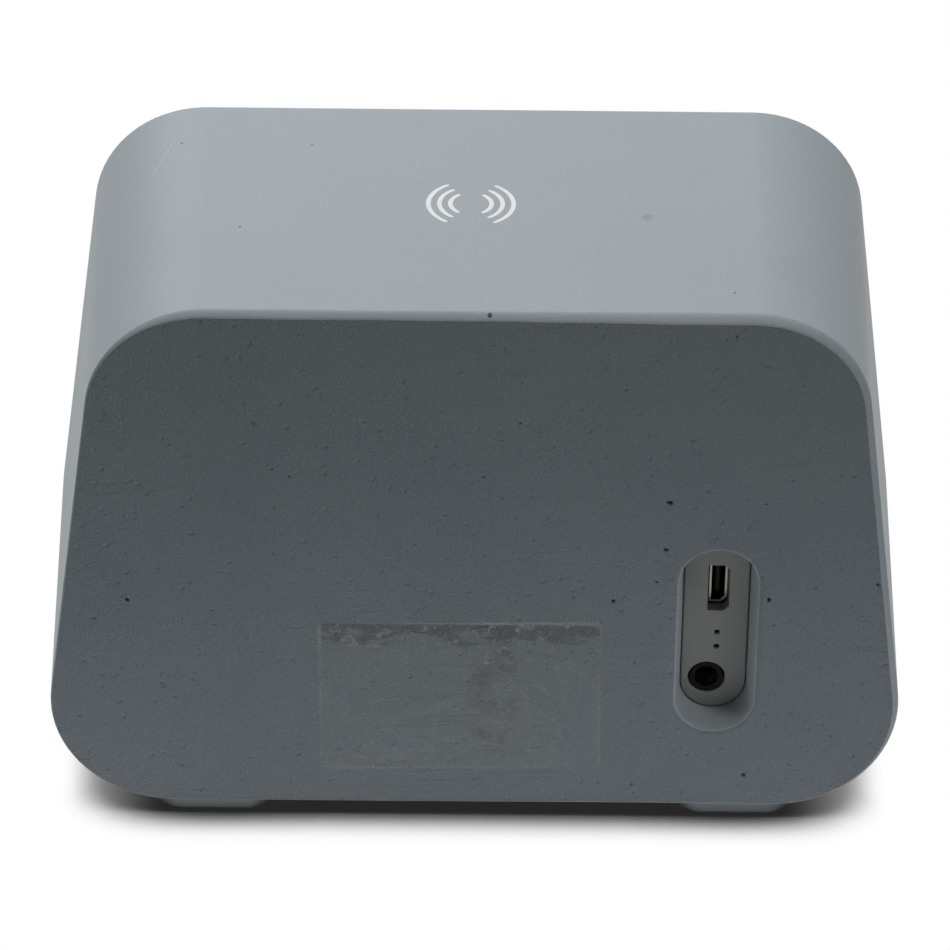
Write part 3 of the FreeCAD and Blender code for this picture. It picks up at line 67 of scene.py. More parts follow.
# The blank film on the back
FILM_CENTRE = Vector((2.25 * MM, 0, 22.05 * MM))
FILM_SIZE = Vector((41.5 * MM, 0.05 * MM, 26.6 * MM))
FILM_TOP = FILM_CENTRE.z + FILM_SIZE.z / 2
FILM_TURN = math.radians(1.1)
FILM_CORNER = 0.7 * MM


# Shader helpers

# Sockets known by number: a colour mix's share, its two colours and its result,
# and a number mix's two numbers
SHARE, FROM, TO, MIXED = 0, 6, 7, 2
FIRST, SECOND = 2, 3

# A finish has clouds of tone this many grains wide, and its roughness swings this far either way
CLOUD_GRAINS = 14
GLOSS_SWING = 0.07


def linear(colour):
    """An sRGB hex colour as linear RGBA."""
    parts = [int(colour[i:i + 2], 16) / 255 for i in (0, 2, 4)]
    return [c / 12.92 if c <= 0.04045 else ((c + 0.055) / 1.055) ** 2.4 for c in parts] + [1.0]


def add(tree, kind, inputs=None, **settings):
    """Add one shader node: settings are its properties, inputs are values or sockets to link."""
    node = tree.nodes.new("ShaderNode" + kind)
    for name, value in settings.items():
        setattr(node, name, value)
    for name, value in (inputs or {}).items():
        if isinstance(value, bpy.types.NodeSocket):
            tree.links.new(value, node.inputs[name])
        else:
            node.inputs[name].default_value = value
    return node


def per(size):
    """Texture scale for one feature in every so many millimetres."""
    return 1 / (size * MM)


def start(name, **sockets):
    """A new material with its principled shader, and the piece's own coordinates."""
    material = bpy.data.materials.new(name)
    material.use_nodes = True
    tree = material.node_tree
    shader = tree.nodes["Principled BSDF"]
    for socket, value in sockets.items():
        shader.inputs[socket.replace("_", " ")].default_value = value
    place = add(tree, "TexCoord").outputs["Object"]
    return material, tree, shader, place


def finish(name, light, dark, rough, grain, relief, **sockets):
    """A moulded, coated or rolled surface: two tones and a relief over one grain size in mm."""
    material, tree, shader, place = start(name, **sockets)
    spots = add(tree, "TexNoise", {"Vector": place, "Scale": per(grain), "Detail": 3.0})
    clouds = add(tree, "TexNoise", {"Vector": place, "Scale": per(grain * CLOUD_GRAINS), "Detail": 2.0})
    both = add(tree, "Math", {0: spots.outputs["Fac"], 1: clouds.outputs["Fac"]}, operation="MULTIPLY")
    share = add(tree, "MapRange", {"Value": both.outputs[0], "From Min": 0.1, "From Max": 0.42})
    tone = add(tree, "Mix", {
        SHARE: share.outputs[0], FROM: linear(dark), TO: linear(light),
    }, data_type="RGBA")
    gloss = add(tree, "MapRange", {
        "Value": clouds.outputs["Fac"], "From Min": 0.3, "From Max": 0.7,
        "To Min": max(rough - GLOSS_SWING, 0.03), "To Max": min(rough + GLOSS_SWING, 1.0),
    })
    bump = add(tree, "Bump", {"Height": spots.outputs["Fac"], "Distance": relief * MM})
    tree.links.new(tone.outputs[MIXED], shader.inputs["Base Color"])
    tree.links.new(gloss.outputs[0], shader.inputs["Roughness"])
    tree.links.new(bump.outputs[0], shader.inputs["Normal"])
    return material


def patch(tree, place, centre, size, turn=(0.0, 0.0, 0.0)):
    """1 inside a soft oval of the given half sizes, 0 outside it."""
    local = add(tree, "Mapping", {
        "Vector": place, "Location": centre, "Rotation": turn, "Scale": size,
    }, vector_type="TEXTURE")
    reach = add(tree, "VectorMath", {0: local.outputs[0]}, operation="LENGTH")
    inside = add(tree, "MapRange", {"Value": reach.outputs["Value"], "From Min": 1.0, "From Max": 0.75})
    return inside.outputs[0]


# Cement, in mm: clouds of tone, sand grains, the spacing of pinholes and of dimples, and one rubbing stroke.
# Real sand grains are near 0.1 mm, too fine to show here, so they are drawn about four times as coarse.

CLOUD = 24
SAND = 0.42
PINHOLE_SPACING = 2.6
DIMPLE_SPACING = 1.7
STROKE = Vector((18, 0.5, 0.24))
STROKE_TILT = math.radians(3.5)
HOLE_SHADE = "3a3d40"


def cement(name, light, dark, grain, dimple, rubbing, pinholes, marks=(), **sockets):
    """Cement: clouds of tone and sand grains, dimples and pinholes of air, and rubbing marks in patches.
    Grain and dimple are heights in mm, rubbing and pinholes are shares."""
    material, tree, shader, place = start(name, **sockets)
    clouds = add(tree, "TexNoise", {"Vector": place, "Scale": per(CLOUD), "Detail": 3.0, "Roughness": 0.55})
    grains = add(tree, "TexNoise", {"Vector": place, "Scale": per(SAND), "Detail": 3.0, "Roughness": 0.6})
    holes = add(tree, "TexVoronoi", {"Vector": place, "Scale": per(PINHOLE_SPACING)})
    dimples = add(tree, "TexVoronoi", {"Vector": place, "Scale": per(DIMPLE_SPACING)})
    strokes = add(tree, "Mapping", {
        "Vector": place, "Rotation": (0.0, STROKE_TILT, 0.0), "Scale": STROKE * MM,
    }, vector_type="TEXTURE")
    rubbed = add(tree, "TexNoise", {"Vector": strokes.outputs[0], "Scale": 1.0, "Detail": 2.0})

    # Tone: clouds with a speckle of grains, dark in the pinholes
    share = add(tree, "MapRange", {
        "Value": clouds.outputs["Fac"], "From Min": 0.3, "From Max": 0.7, "To Min": 0.38, "To Max": 0.62,
    })
    speckle = add(tree, "MapRange", {
        "Value": grains.outputs["Fac"], "From Min": 0.3, "From Max": 0.7, "To Min": -0.3, "To Max": 0.3,
    })
    both = add(tree, "Math", {0: share.outputs[0], 1: speckle.outputs[0]}, use_clamp=True)
    tone = add(tree, "Mix", {SHARE: both.outputs[0], FROM: linear(dark), TO: linear(light)}, data_type="RGBA")
    kind = add(tree, "SeparateColor", {"Color": holes.outputs["Color"]})
    chosen = add(tree, "Math", {0: kind.outputs["Red"], 1: 1 - pinholes}, operation="GREATER_THAN")
    near = add(tree, "MapRange", {
        "Value": holes.outputs["Distance"], "From Min": 0.04, "From Max": 0.08, "To Min": 1.0, "To Max": 0.0,
    })
    hole = add(tree, "Math", {0: chosen.outputs[0], 1: near.outputs[0]}, operation="MULTIPLY")
    colour = add(tree, "Mix", {
        SHARE: hole.outputs[0], FROM: tone.outputs[MIXED], TO: linear(HOLE_SHADE),
    }, data_type="RGBA").outputs[MIXED]
    for centre, size, turn, stain, strength in marks:
        oval = patch(tree, place, centre, size, turn)
        shown = add(tree, "Math", {0: oval, 1: strength}, operation="MULTIPLY")
        colour = add(tree, "Mix", {
            SHARE: shown.outputs[0], FROM: colour, TO: linear(stain),
        }, data_type="RGBA").outputs[MIXED]

    # Rubbing: pale strokes where the clouds are thick
    zone = add(tree, "MapRange", {
        "Value": clouds.outputs["Fac"], "From Min": 0.45, "From Max": 0.62, "To Max": rubbing,
    })
    stroke = add(tree, "MapRange", {"Value": rubbed.outputs["Fac"], "From Min": 0.58, "From Max": 0.75})
    rub = add(tree, "Math", {0: stroke.outputs[0], 1: zone.outputs[0]}, operation="MULTIPLY")
    worn = add(tree, "Mix", {SHARE: rub.outputs[0], FROM: colour, TO: linear(light)}, data_type="RGBA")

    # Relief: grains, with dimples and strokes sunk into them
    rim = add(tree, "SeparateColor", {"Color": dimples.outputs["Color"]})
    reach = add(tree, "MapRange", {"Value": rim.outputs["Green"], "To Min": 0.08, "To Max": 0.34})
    hollow = add(tree, "MapRange", {
        "Value": dimples.outputs["Distance"], "From Min": 0.0, "From Max": reach.outputs[0],
        "To Min": -dimple, "To Max": 0.0,
    }, interpolation_type="SMOOTHSTEP")
    height = add(tree, "Math", {
        0: grains.outputs["Fac"], 1: grain, 2: hollow.outputs[0],
    }, operation="MULTIPLY_ADD")
    sunk = add(tree, "Math", {0: rub.outputs[0], 1: -grain, 2: height.outputs[0]}, operation="MULTIPLY_ADD")
    bump = add(tree, "Bump", {"Height": sunk.outputs[0], "Distance": MM})
    tree.links.new(worn.outputs[MIXED], shader.inputs["Base Color"])
    tree.links.new(bump.outputs[0], shader.inputs["Normal"])
    return material


# Film: sizes in mm, and how much each mark hides of the cement behind it

LOOSE_PATCH = Vector((7, 7, 1.8))
LOOSE_FROM = 6.5
LOOSE_FULL = 1.2
BUBBLE = 1.3
GLUE_SIZE = Vector((4.2, 9, 15))
GLUE_PATCH = 3.5
EDGE_LINE = (0.5, 0.25)
VEIL_COVER = 0.03
LOOSE_COVER = 0.08
GLUE_COVER = 0.08
FLECK_COVER = 0.045
EDGE_SHARE = 0.75


def clear_film():
    """Clear polyester stock: nearly unseen, cloudy along its loose upper edge, with small bubbles and a faint
    edge line drawn light as painted highlights.
    """
    material, tree, shader, place = start("polyester film, clear and glossy", Roughness=0.4)
    axes = add(tree, "SeparateXYZ", {"Vector": place})
    drawn = add(tree, "Mapping", {"Vector": place, "Scale": LOOSE_PATCH * MM}, vector_type="TEXTURE")
    loose = add(tree, "TexNoise", {
        "Vector": drawn.outputs[0], "Scale": 1.0, "Detail": 5.0, "Roughness": 0.65,
    })
    rise = add(tree, "MapRange", {
        "Value": axes.outputs["Z"],
        "From Min": FILM_TOP - LOOSE_FROM * MM, "From Max": FILM_TOP - LOOSE_FULL * MM,
        "To Min": -0.3, "To Max": 0.22,
    })
    lifted = add(tree, "Math", {0: loose.outputs["Fac"], 1: rise.outputs[0]})
    band = add(tree, "MapRange", {"Value": lifted.outputs[0], "From Min": 0.5, "From Max": 0.54})
    dots = add(tree, "TexNoise", {"Vector": place, "Scale": per(BUBBLE), "Detail": 4.0, "Roughness": 0.75})
    bubble = add(tree, "MapRange", {"Value": dots.outputs["Fac"], "From Min": 0.52, "From Max": 0.66})
    spill = patch(tree, place, (-2.8 * MM, BACK_Y, FILM_CENTRE.z + 2 * MM), GLUE_SIZE * MM)
    ragged = add(tree, "TexNoise", {
        "Vector": place, "Scale": per(GLUE_PATCH), "Detail": 4.0, "Roughness": 0.6,
    })
    thin = add(tree, "MapRange", {"Value": ragged.outputs["Fac"], "From Min": 0.4, "From Max": 0.65})
    glue = add(tree, "Math", {0: spill, 1: thin.outputs[0]}, operation="MULTIPLY").outputs[0]
    border = []
    for axis, middle, size in (("X", FILM_CENTRE.x, FILM_SIZE.x), ("Z", FILM_CENTRE.z, FILM_SIZE.z)):
        away = add(tree, "Math", {0: axes.outputs[axis], 1: middle}, operation="SUBTRACT")
        reach = add(tree, "Math", {0: away.outputs[0]}, operation="ABSOLUTE")
        border.append(add(tree, "MapRange", {
            "Value": reach.outputs[0],
            "From Min": size / 2 - EDGE_LINE[0] * MM, "From Max": size / 2 - EDGE_LINE[1] * MM,
        }).outputs[0])
    edge = add(tree, "Math", {0: border[0], 1: border[1]}, operation="MAXIMUM")
    tone = add(tree, "Mix", {
        SHARE: band.outputs[0], FROM: linear("c3c6c8"), TO: linear("5a5c5c"),
    }, data_type="RGBA")
    browned = add(tree, "Mix", {
        SHARE: glue, FROM: tone.outputs[MIXED], TO: linear("5f574f"),
    }, data_type="RGBA")
    faint = add(tree, "Math", {0: edge.outputs[0], 1: EDGE_SHARE}, operation="MULTIPLY")
    # Painted highlights: the bubbles and the edge line are drawn light and a little less clear
    lit = add(tree, "Math", {0: bubble.outputs[0], 1: faint.outputs[0]}, operation="MAXIMUM")
    flecked = add(tree, "Mix", {
        SHARE: lit.outputs[0], FROM: browned.outputs[MIXED], TO: linear("e6e8e8"),
    }, data_type="RGBA")
    cover = add(tree, "Math", {0: band.outputs[0], 1: LOOSE_COVER, 2: VEIL_COVER}, operation="MULTIPLY_ADD")
    stained = add(tree, "Math", {0: glue, 1: GLUE_COVER, 2: cover.outputs[0]}, operation="MULTIPLY_ADD")
    alpha = add(tree, "Math", {
        0: lit.outputs[0], 1: FLECK_COVER, 2: stained.outputs[0],
    }, operation="MULTIPLY_ADD")
    tree.links.new(flecked.outputs[MIXED], shader.inputs["Base Color"])
    tree.links.new(alpha.outputs[0], shader.inputs["Alpha"])
    return material


LIP_BRIGHT = 0.02 * MM
FULL_SHADE_DEPTH = 0.14 * MM


def socket_shell():
    """Nickel plated steel: bright on the drawn lip, with painted shade down inside the mouth."""
    material, tree, shader, place = start("steel, nickel plated and drawn", Metallic=1.0)
    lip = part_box("usb_shell")[1].y
    axes = add(tree, "SeparateXYZ", {"Vector": place})
    # Painted shade: below the lip the metal turns near black, as the inside of the socket lies in shade
    depth = add(tree, "MapRange", {
        "Value": axes.outputs["Y"], "From Min": lip - FULL_SHADE_DEPTH, "From Max": lip - LIP_BRIGHT,
    })
    spots = add(tree, "TexNoise", {"Vector": place, "Scale": per(0.5), "Detail": 2.0})
    bright = add(tree, "Mix", {
        SHARE: spots.outputs["Fac"], FROM: linear("75685a"), TO: linear("aa9d8c"),
    }, data_type="RGBA")
    tone = add(tree, "Mix", {
        SHARE: depth.outputs[0], FROM: linear("0c0b0a"), TO: bright.outputs[MIXED],
    }, data_type="RGBA")
    gloss = add(tree, "MapRange", {"Value": spots.outputs["Fac"], "To Min": 0.22, "To Max": 0.42})
    tree.links.new(tone.outputs[MIXED], shader.inputs["Base Color"])
    tree.links.new(gloss.outputs[0], shader.inputs["Roughness"])
    return material


# Real threads lie about 0.4 mm apart, too fine to show in the render, so the weave is drawn three times
# as coarse.

THREAD = 1.3 * MM
THREAD_STREAK = 9
FIBRE = 0.16


def knit(pitch):
    """Polyester speaker cloth, heather: threads over and under, each of its own grey."""
    material, tree, shader, place = start("polyester cloth, woven heather", Roughness=0.85, Sheen_Weight=0.15)
    streak = per(THREAD_STREAK)
    across = add(tree, "Mapping", {"Vector": place, "Scale": (streak, streak, per(pitch))})
    along = add(tree, "Mapping", {"Vector": place, "Scale": (per(pitch), streak, streak)})
    weft = add(tree, "TexNoise", {"Vector": across.outputs[0], "Scale": 1.0, "Detail": 2.0})
    warp = add(tree, "TexNoise", {"Vector": along.outputs[0], "Scale": 1.0, "Detail": 2.0})
    axes = add(tree, "SeparateXYZ", {"Vector": place})
    turns = []
    for axis in ("X", "Z"):
        angle = add(tree, "Math", {0: axes.outputs[axis], 1: math.pi * per(pitch)}, operation="MULTIPLY")
        turns.append(add(tree, "Math", {0: angle.outputs[0]}, operation="COSINE").outputs[0])
    over = add(tree, "Math", {0: turns[0], 1: turns[1]}, operation="MULTIPLY")
    which = add(tree, "MapRange", {"Value": over.outputs[0], "From Min": -0.2, "From Max": 0.2})
    shade = add(tree, "Mix", {
        SHARE: which.outputs[0], FIRST: weft.outputs["Fac"], SECOND: warp.outputs["Fac"],
    })
    share = add(tree, "MapRange", {"Value": shade.outputs[0], "From Min": 0.36, "From Max": 0.64})
    tone = add(tree, "Mix", {
        SHARE: share.outputs[0], FROM: linear("2b2d30"), TO: linear("5c6165"),
    }, data_type="RGBA")
    fibre = add(tree, "TexNoise", {"Vector": place, "Scale": per(FIBRE), "Detail": 2.0})
    bump = add(tree, "Bump", {"Height": fibre.outputs["Fac"], "Distance": 0.05 * MM})
    tree.links.new(tone.outputs[MIXED], shader.inputs["Base Color"])
    tree.links.new(bump.outputs[0], shader.inputs["Normal"])
    return material


WIRE_PITCH = 0.5
RINGS_PER_UNIT = 3.2


def wound_wire():
    """Enamelled copper wire wound in rings: warm bright lines, with painted shade in the gaps between them.
    """
    material, tree, shader, place = start("copper wire, enamelled", Metallic=0.85, Roughness=0.32)
    rings = add(tree, "TexWave", {
        "Vector": place, "Scale": per(WIRE_PITCH) / RINGS_PER_UNIT, "Distortion": 0.4, "Detail": 1.0,
    }, wave_type="RINGS", rings_direction="Z")
    # Painted shade: each turn darkens towards the gaps beside it
    tone = add(tree, "Mix", {
        SHARE: rings.outputs["Fac"], FROM: linear("6e3312"), TO: linear("c8743a"),
    }, data_type="RGBA")
    bump = add(tree, "Bump", {"Height": rings.outputs["Fac"], "Distance": 0.1 * MM})
    tree.links.new(tone.outputs[MIXED], shader.inputs["Base Color"])
    tree.links.new(bump.outputs[0], shader.inputs["Normal"])
    return material


# Pieces

FLAT_ANGLE = math.radians(0.5)


def piece(name, bm, materials, body, sharp=30):
    """Turn a bmesh into a finished piece, which rides on a body if one is named."""
    mesh = bpy.data.meshes.new(name)
    bm.to_mesh(mesh)
    bm.free()
    for material in materials:
        mesh.materials.append(material)
    for polygon in mesh.polygons:
        polygon.use_smooth = True
    mesh.set_sharp_from_angle(angle=math.radians(sharp))
    obj = bpy.data.objects.new(name, mesh)
    bpy.context.scene.collection.objects.link(obj)
    if body:
        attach(obj, body)
    return obj


def whole_faces(node):
    """A copy of a CAD node's mesh, merged, with its flat triangles joined to whole faces."""
    bm = bmesh.new()
    bm.from_mesh(NODES[node].data)
    bmesh.ops.remove_doubles(bm, verts=bm.verts, dist=WELD)
    bmesh.ops.dissolve_limit(bm, angle_limit=FLAT_ANGLE, verts=bm.verts, edges=bm.edges)
    return bm


def parts_of(faces):
    """Faces with their edges and corners, each once."""
    corners = dict.fromkeys(v for f in faces for v in f.verts)
    edges = dict.fromkeys(e for f in faces for e in f.edges)
    return list(faces) + list(edges) + list(corners)


def cut_rows(bm, faces, axis, low, high, step):
    """Cut faces into rows with evenly spaced planes square to an axis."""
    geometry = parts_of(faces)
    for i in range(int((high - low) / step) + 1):
        cut = bmesh.ops.bisect_plane(
            bm, geom=geometry, dist=WELD, plane_co=axis * (low + i * step), plane_no=axis
        )
        geometry = cut["geom"]
    return [item for item in geometry if isinstance(item, bmesh.types.BMFace)]


def ease(value, low, high):
    """A smooth step from 0 to 1 between two values."""
    share = min(max((value - low) / (high - low), 0.0), 1.0)
    return share * share * (3 - 2 * share)


# Cement body: the casting with its screeded back, its sanded edge and its air pits

# Places of its finishes among its materials, after the plain cast one
BACK_FACE, RIM_FACE, POCKET_FACE = 1, 2, 3

BEVEL = 1.2 * MM
BACK_GRID = 1.3 * MM
BACK_REACH = 63 * MM
EDGE_REACH = 6 * MM
POCKET_LIP = 0.75 * MM
POCKET_DRAFT = 4 * MM
LIP_WEAR = 0.14 * MM
LIP_WEAR_WAVE = 2.3

# Sanding of the back's edge: spans over which it changes, and widths in mm
CROWN_SPAN = (70 * MM, 86 * MM)
CROWN_WIDTH = 1.1
NEAR_END_SPAN = (38 * MM, 58 * MM)
NEAR_END_LOSS = 0.75
FAR_SPAN = (0, 30 * MM)
FAR_END_SPAN = (40 * MM, 52 * MM)
FAR_GAIN = 0.25
SIDE_SPAN = (-20 * MM, 20 * MM)
SIDE_LEAST = 0.15
SIDE_GAIN = 0.75
FOOT_SPAN = (4 * MM, 22 * MM)
FOOT_LOSS = 0.7
LEAST_WIDTH = 0.1
WANDER_SHIFT = Vector((1, 0, 0))
SANDED_CURVE = 1.7

# Dips of the back, in mm: depth and length of its broad and its fine waves, and the level under the film
BROAD_DIP, BROAD_WAVE = 0.10, 17
FINE_DIP, FINE_WAVE = 0.05, 4.1
FINE_SHIFT = Vector((3, 5, 7))
FILM_DIP = 0.08
FILM_MARGIN = Vector((MM, MM, MM))
FILM_FADE = 4 * MM

# Air pits: how far up the whole list is moved in mm, the width at which a pit is deepest, how far from its
# place a pit may find a crossing of the grid, its collar, its rim's drop, and its steps inwards and down
PIT_LIFT = 0.35
DEEP_PIT = 0.85 * MM
PIT_REACH = 1.2 * BACK_GRID
PIT_COLLAR = 0.4 * MM
PIT_RIM_DROP = 0.02 * MM
PIT_STEPS = ((0.1, 0.4), (0.14, 0.25))

# Air pits in the back: across, height and width, in mm
BACK_PITS = (
    (-27.7, 56.4, 0.95), (-27.4, 48.3, 0.85), (-26.2, 42.5, 0.6), (-20.0, 39.1, 0.75), (-42.6, 39.5, 0.85),
    (-58.4, 42.4, 0.7), (-40.2, 7.5, 0.8), (50.8, 38.5, 0.8), (46.1, 23.5, 0.6), (27.0, 60.4, 0.6),
    (8.3, 54.5, 0.5), (-0.8, 60.6, 0.6), (-5.9, 69.9, 0.6), (-5.5, 53.4, 0.5), (43.5, 8.4, 0.6),
    (33.5, 10.0, 0.5), (55.8, 35.2, 0.6), (57.3, 10.9, 0.5), (-3.4, 66.9, 0.5), (-1.1, 47.0, 0.5),
    (-8.7, 68.5, 0.5), (-23.5, 5.6, 0.6), (47.5, 84.3, 0.6), (53.3, 70.7, 0.5), (32.2, 69.6, 0.5),
    (18.6, 72.9, 0.5), (-36.3, 84.8, 0.6),
)


def sanded_width(at):
    """How wide the edge is sanded here: broadest at one top corner, fading out down the other side."""
    top = ease(at.z, *CROWN_SPAN)
    far = ease(-at.x, *FAR_SPAN) * (1 - ease(-at.x, *FAR_END_SPAN))
    side = SIDE_LEAST + SIDE_GAIN * ease(-at.x, *SIDE_SPAN)
    low = 1 - ease(at.z, *FOOT_SPAN)
    crown = (CROWN_WIDTH + FAR_GAIN * far) * (1 - NEAR_END_LOSS * ease(at.x, *NEAR_END_SPAN))
    width = (side * (1 - FOOT_LOSS * low)) * (1 - top) + crown * top
    wander = 0.1 * noise.noise(at * per(14) + WANDER_SHIFT) + 0.03 * noise.noise(at * per(5) + WANDER_SHIFT)
    return max(width + wander, LEAST_WIDTH) * MM


def back_dip(at):
    """How far the screeded back lies under its highest plane."""
    broad = noise.noise(at * per(BROAD_WAVE)) * 0.5 + 0.5
    fine = noise.noise(at * per(FINE_WAVE) + FINE_SHIFT) * 0.5 + 0.5
    dip = BROAD_DIP * broad + FINE_DIP * fine
    reach = FILM_SIZE / 2 + FILM_MARGIN
    beside = max(abs(at.x - FILM_CENTRE.x) - reach.x, abs(at.z - FILM_CENTRE.z) - reach.z)
    under_film = 1 - ease(beside, 0, FILM_FADE)
    return (dip * (1 - under_film) + FILM_DIP * under_film) * MM


def cement_body():
    """One casting: its finishes sorted, its edges worn, its back dipped and pitted."""
    bm = whole_faces("concrete_shell")
    sort_faces(bm)
    wear_pocket_lip(bm)
    cut_back(bm)
    sand_edge(bm)
    sink_back(bm)
    for x, z, width in BACK_PITS:
        air_pit(bm, x * MM, (z + PIT_LIFT) * MM, width * MM)
    body = piece("cement_body", bm, [CAST, SCREEDED, SANDED, POCKET_CAST_AND_PAINTED_LIGHT], "housing", sharp=60)
    body.modifiers.new("flat faces stay flat", "WEIGHTED_NORMAL").keep_sharp = True
    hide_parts("concrete_shell")


def sort_faces(bm):
    """Give the back, the rim round it and the walls of the pocket their own finishes; the pocket walls'
    finish is paler as painted light.
    """
    panel_low, panel_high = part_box("port_panel")
    room = Vector((POCKET_DRAFT, BACK_Y, POCKET_DRAFT))
    for face in bm.faces:
        middle = face.calc_center_median()
        facing = face.normal.y
        if facing > 0.999 and middle.y > BACK_Y - WELD:
            face.material_index = BACK_FACE
        if 0.3 < facing < 0.95 and middle.y > BACK_Y - BEVEL:
            face.material_index = RIM_FACE
        beside = all(panel_low[i] - room[i] < middle[i] < panel_high[i] + room[i] for i in range(3))
        if beside and 0.0 < facing < 0.7 and middle.y > panel_high.y:
            face.material_index = POCKET_FACE


def wear_pocket_lip(bm):
    """Round the mouth of the pocket unevenly."""
    mouth = []
    for edge in bm.edges:
        kinds = sorted(face.material_index for face in edge.link_faces)
        if kinds == [BACK_FACE, POCKET_FACE]:
            mouth.append(edge)
    lip = bmesh.ops.bevel(
        bm, geom=mouth, offset=POCKET_LIP, offset_type="OFFSET", segments=4, profile=0.5,
        affect="EDGES", material=-1, clamp_overlap=True,
    )
    for vert in lip["verts"]:
        vert.co.y -= LIP_WEAR * (0.5 + 0.5 * noise.noise(vert.co * per(LIP_WEAR_WAVE)))


def cut_back(bm):
    """Cut the back and its rim fine enough to carry the marks of the hand."""
    flat = [f for f in bm.faces if f.material_index == BACK_FACE and f.normal.y > 0.9999]
    flat = cut_rows(bm, flat, AXIS_X, -BACK_REACH, BACK_REACH, BACK_GRID)
    cut_rows(bm, flat, AXIS_Z, BASE_Z + BACK_GRID, TOP_Z, BACK_GRID)
    level = [f for f in bm.faces if f.material_index == RIM_FACE and abs(f.normal.x) < 0.02]
    upright = [f for f in bm.faces if f.material_index == RIM_FACE and abs(f.normal.z) < 0.12]
    cut_rows(bm, level, AXIS_X, -BACK_REACH, BACK_REACH, BACK_GRID)
    cut_rows(bm, upright, AXIS_Z, BASE_Z + BACK_GRID, TOP_Z, BACK_GRID)
    rim = [f for f in bm.faces if f.material_index == RIM_FACE]
    cut_rows(bm, rim, AXIS_Y, BACK_Y - 0.8 * BEVEL, BACK_Y - 0.15 * BEVEL, 0.2 * BEVEL)


def sand_edge(bm):
    """Round the bevel into the top and the sides, with a width that wanders."""
    moves = {}
    for face in bm.faces:
        if face.material_index == RIM_FACE:
            for vert in face.verts:
                outward = moves.setdefault(vert, Vector())
                outward += Vector((face.normal.x, 0, face.normal.z))
    line = [v for v in moves if v.co.y > BACK_Y - WELD]
    widths = {v: sanded_width(v.co) for v in moves}
    tree = KDTree(len(line))
    for i, vert in enumerate(line):
        tree.insert(vert.co, i)
    tree.balance()
    inside = [v for v in bm.verts if v not in moves and v.co.y > BACK_Y - WELD]
    for vert in inside:
        spot, i, distance = tree.find(vert.co)
        room = BEVEL - widths[line[i]]
        vert.co += moves[line[i]].normalized() * room * (1 - ease(distance, 0, EDGE_REACH))
    for vert, outward in moves.items():
        drop = min((BACK_Y - vert.co.y) / BEVEL, 1.0)
        rise = BEVEL * (1 - drop) - widths[vert] * (1 - drop) ** SANDED_CURVE
        vert.co += outward.normalized() * rise + AXIS_Y * drop * (BEVEL - widths[vert])


def sink_back(bm):
    """Let the back dip, while its border and the pocket's lip stay where they are."""
    held = {v for f in bm.faces if f.material_index != BACK_FACE for v in f.verts}
    for vert in bm.verts:
        if vert not in held and all(f.normal.y > 0.999 for f in vert.link_faces):
            vert.co.y -= back_dip(vert.co)


def air_pit(bm, x, z, width):
    """Sink one irregular pit where a bubble broke the surface."""
    target = Vector((x, BACK_Y, z))
    crossings = [v for v in bm.verts if len(v.link_faces) == 4 and (v.co - target).length < PIT_REACH]
    crossings = [
        v for v in crossings if all(f.material_index == BACK_FACE and len(f.verts) == 4 for f in v.link_faces)
    ]
    if not crossings:
        return
    centre = min(crossings, key=lambda v: (v.co - target).length)
    level = centre.co.y - PIT_RIM_DROP
    face = bmesh.ops.dissolve_faces(bm, faces=list(centre.link_faces))["region"][0]
    bmesh.ops.inset_region(bm, faces=[face], thickness=PIT_COLLAR, depth=0)
    for vert in face.verts:
        away = Vector((vert.co.x - x, 0, vert.co.z - z)).normalized()
        spread = 0.5 + 0.28 * noise.noise(vert.co * per(0.7))
        vert.co = Vector((x, level, z)) + away * spread * width
    share = min((width / DEEP_PIT) ** 2, 1.0)
    for inset, sunk in PIT_STEPS:
        face.normal_update()
        bmesh.ops.inset_region(bm, faces=[face], thickness=width * inset, depth=0)
        bmesh.ops.translate(bm, verts=face.verts, vec=(0, -width * sunk * share, 0))


# Printed waves on the top, and the blank film on the back

WAVE_CENTRE = Vector((1.3 * MM, -1.2 * MM, 0))
WAVE_TURN = math.radians(-1.2)
WAVE_RADII = (6.2 * MM, 4.6 * MM, 3.0 * MM)
WAVE_STROKE = 0.68 * MM
WAVE_HALF_ANGLE = math.radians(58)
WAVE_STEPS = 36
WAVE_SLIMMING = 0.25
WAVE_END = 0.93
WAVE_TIP = 0.02
INK = 0.02 * MM


def wave_arcs():
    """Three pairs of arcs, thick in the middle and slim at their rounded ends."""
    bm = bmesh.new()
    for side in (0, math.pi):
        for radius in WAVE_RADII:
            strip = arc_strip(bm, radius)
            turn = Matrix.Rotation(side + WAVE_TURN, 4, "Z")
            place = Matrix.Translation(WAVE_CENTRE + Vector((0, 0, TOP_Z + INK / 2))) @ turn
            bmesh.ops.transform(bm, matrix=place, verts=strip)
    bmesh.ops.recalc_face_normals(bm, faces=bm.faces)
    piece("wave_arcs", bm, [INK_WHITE], "housing")


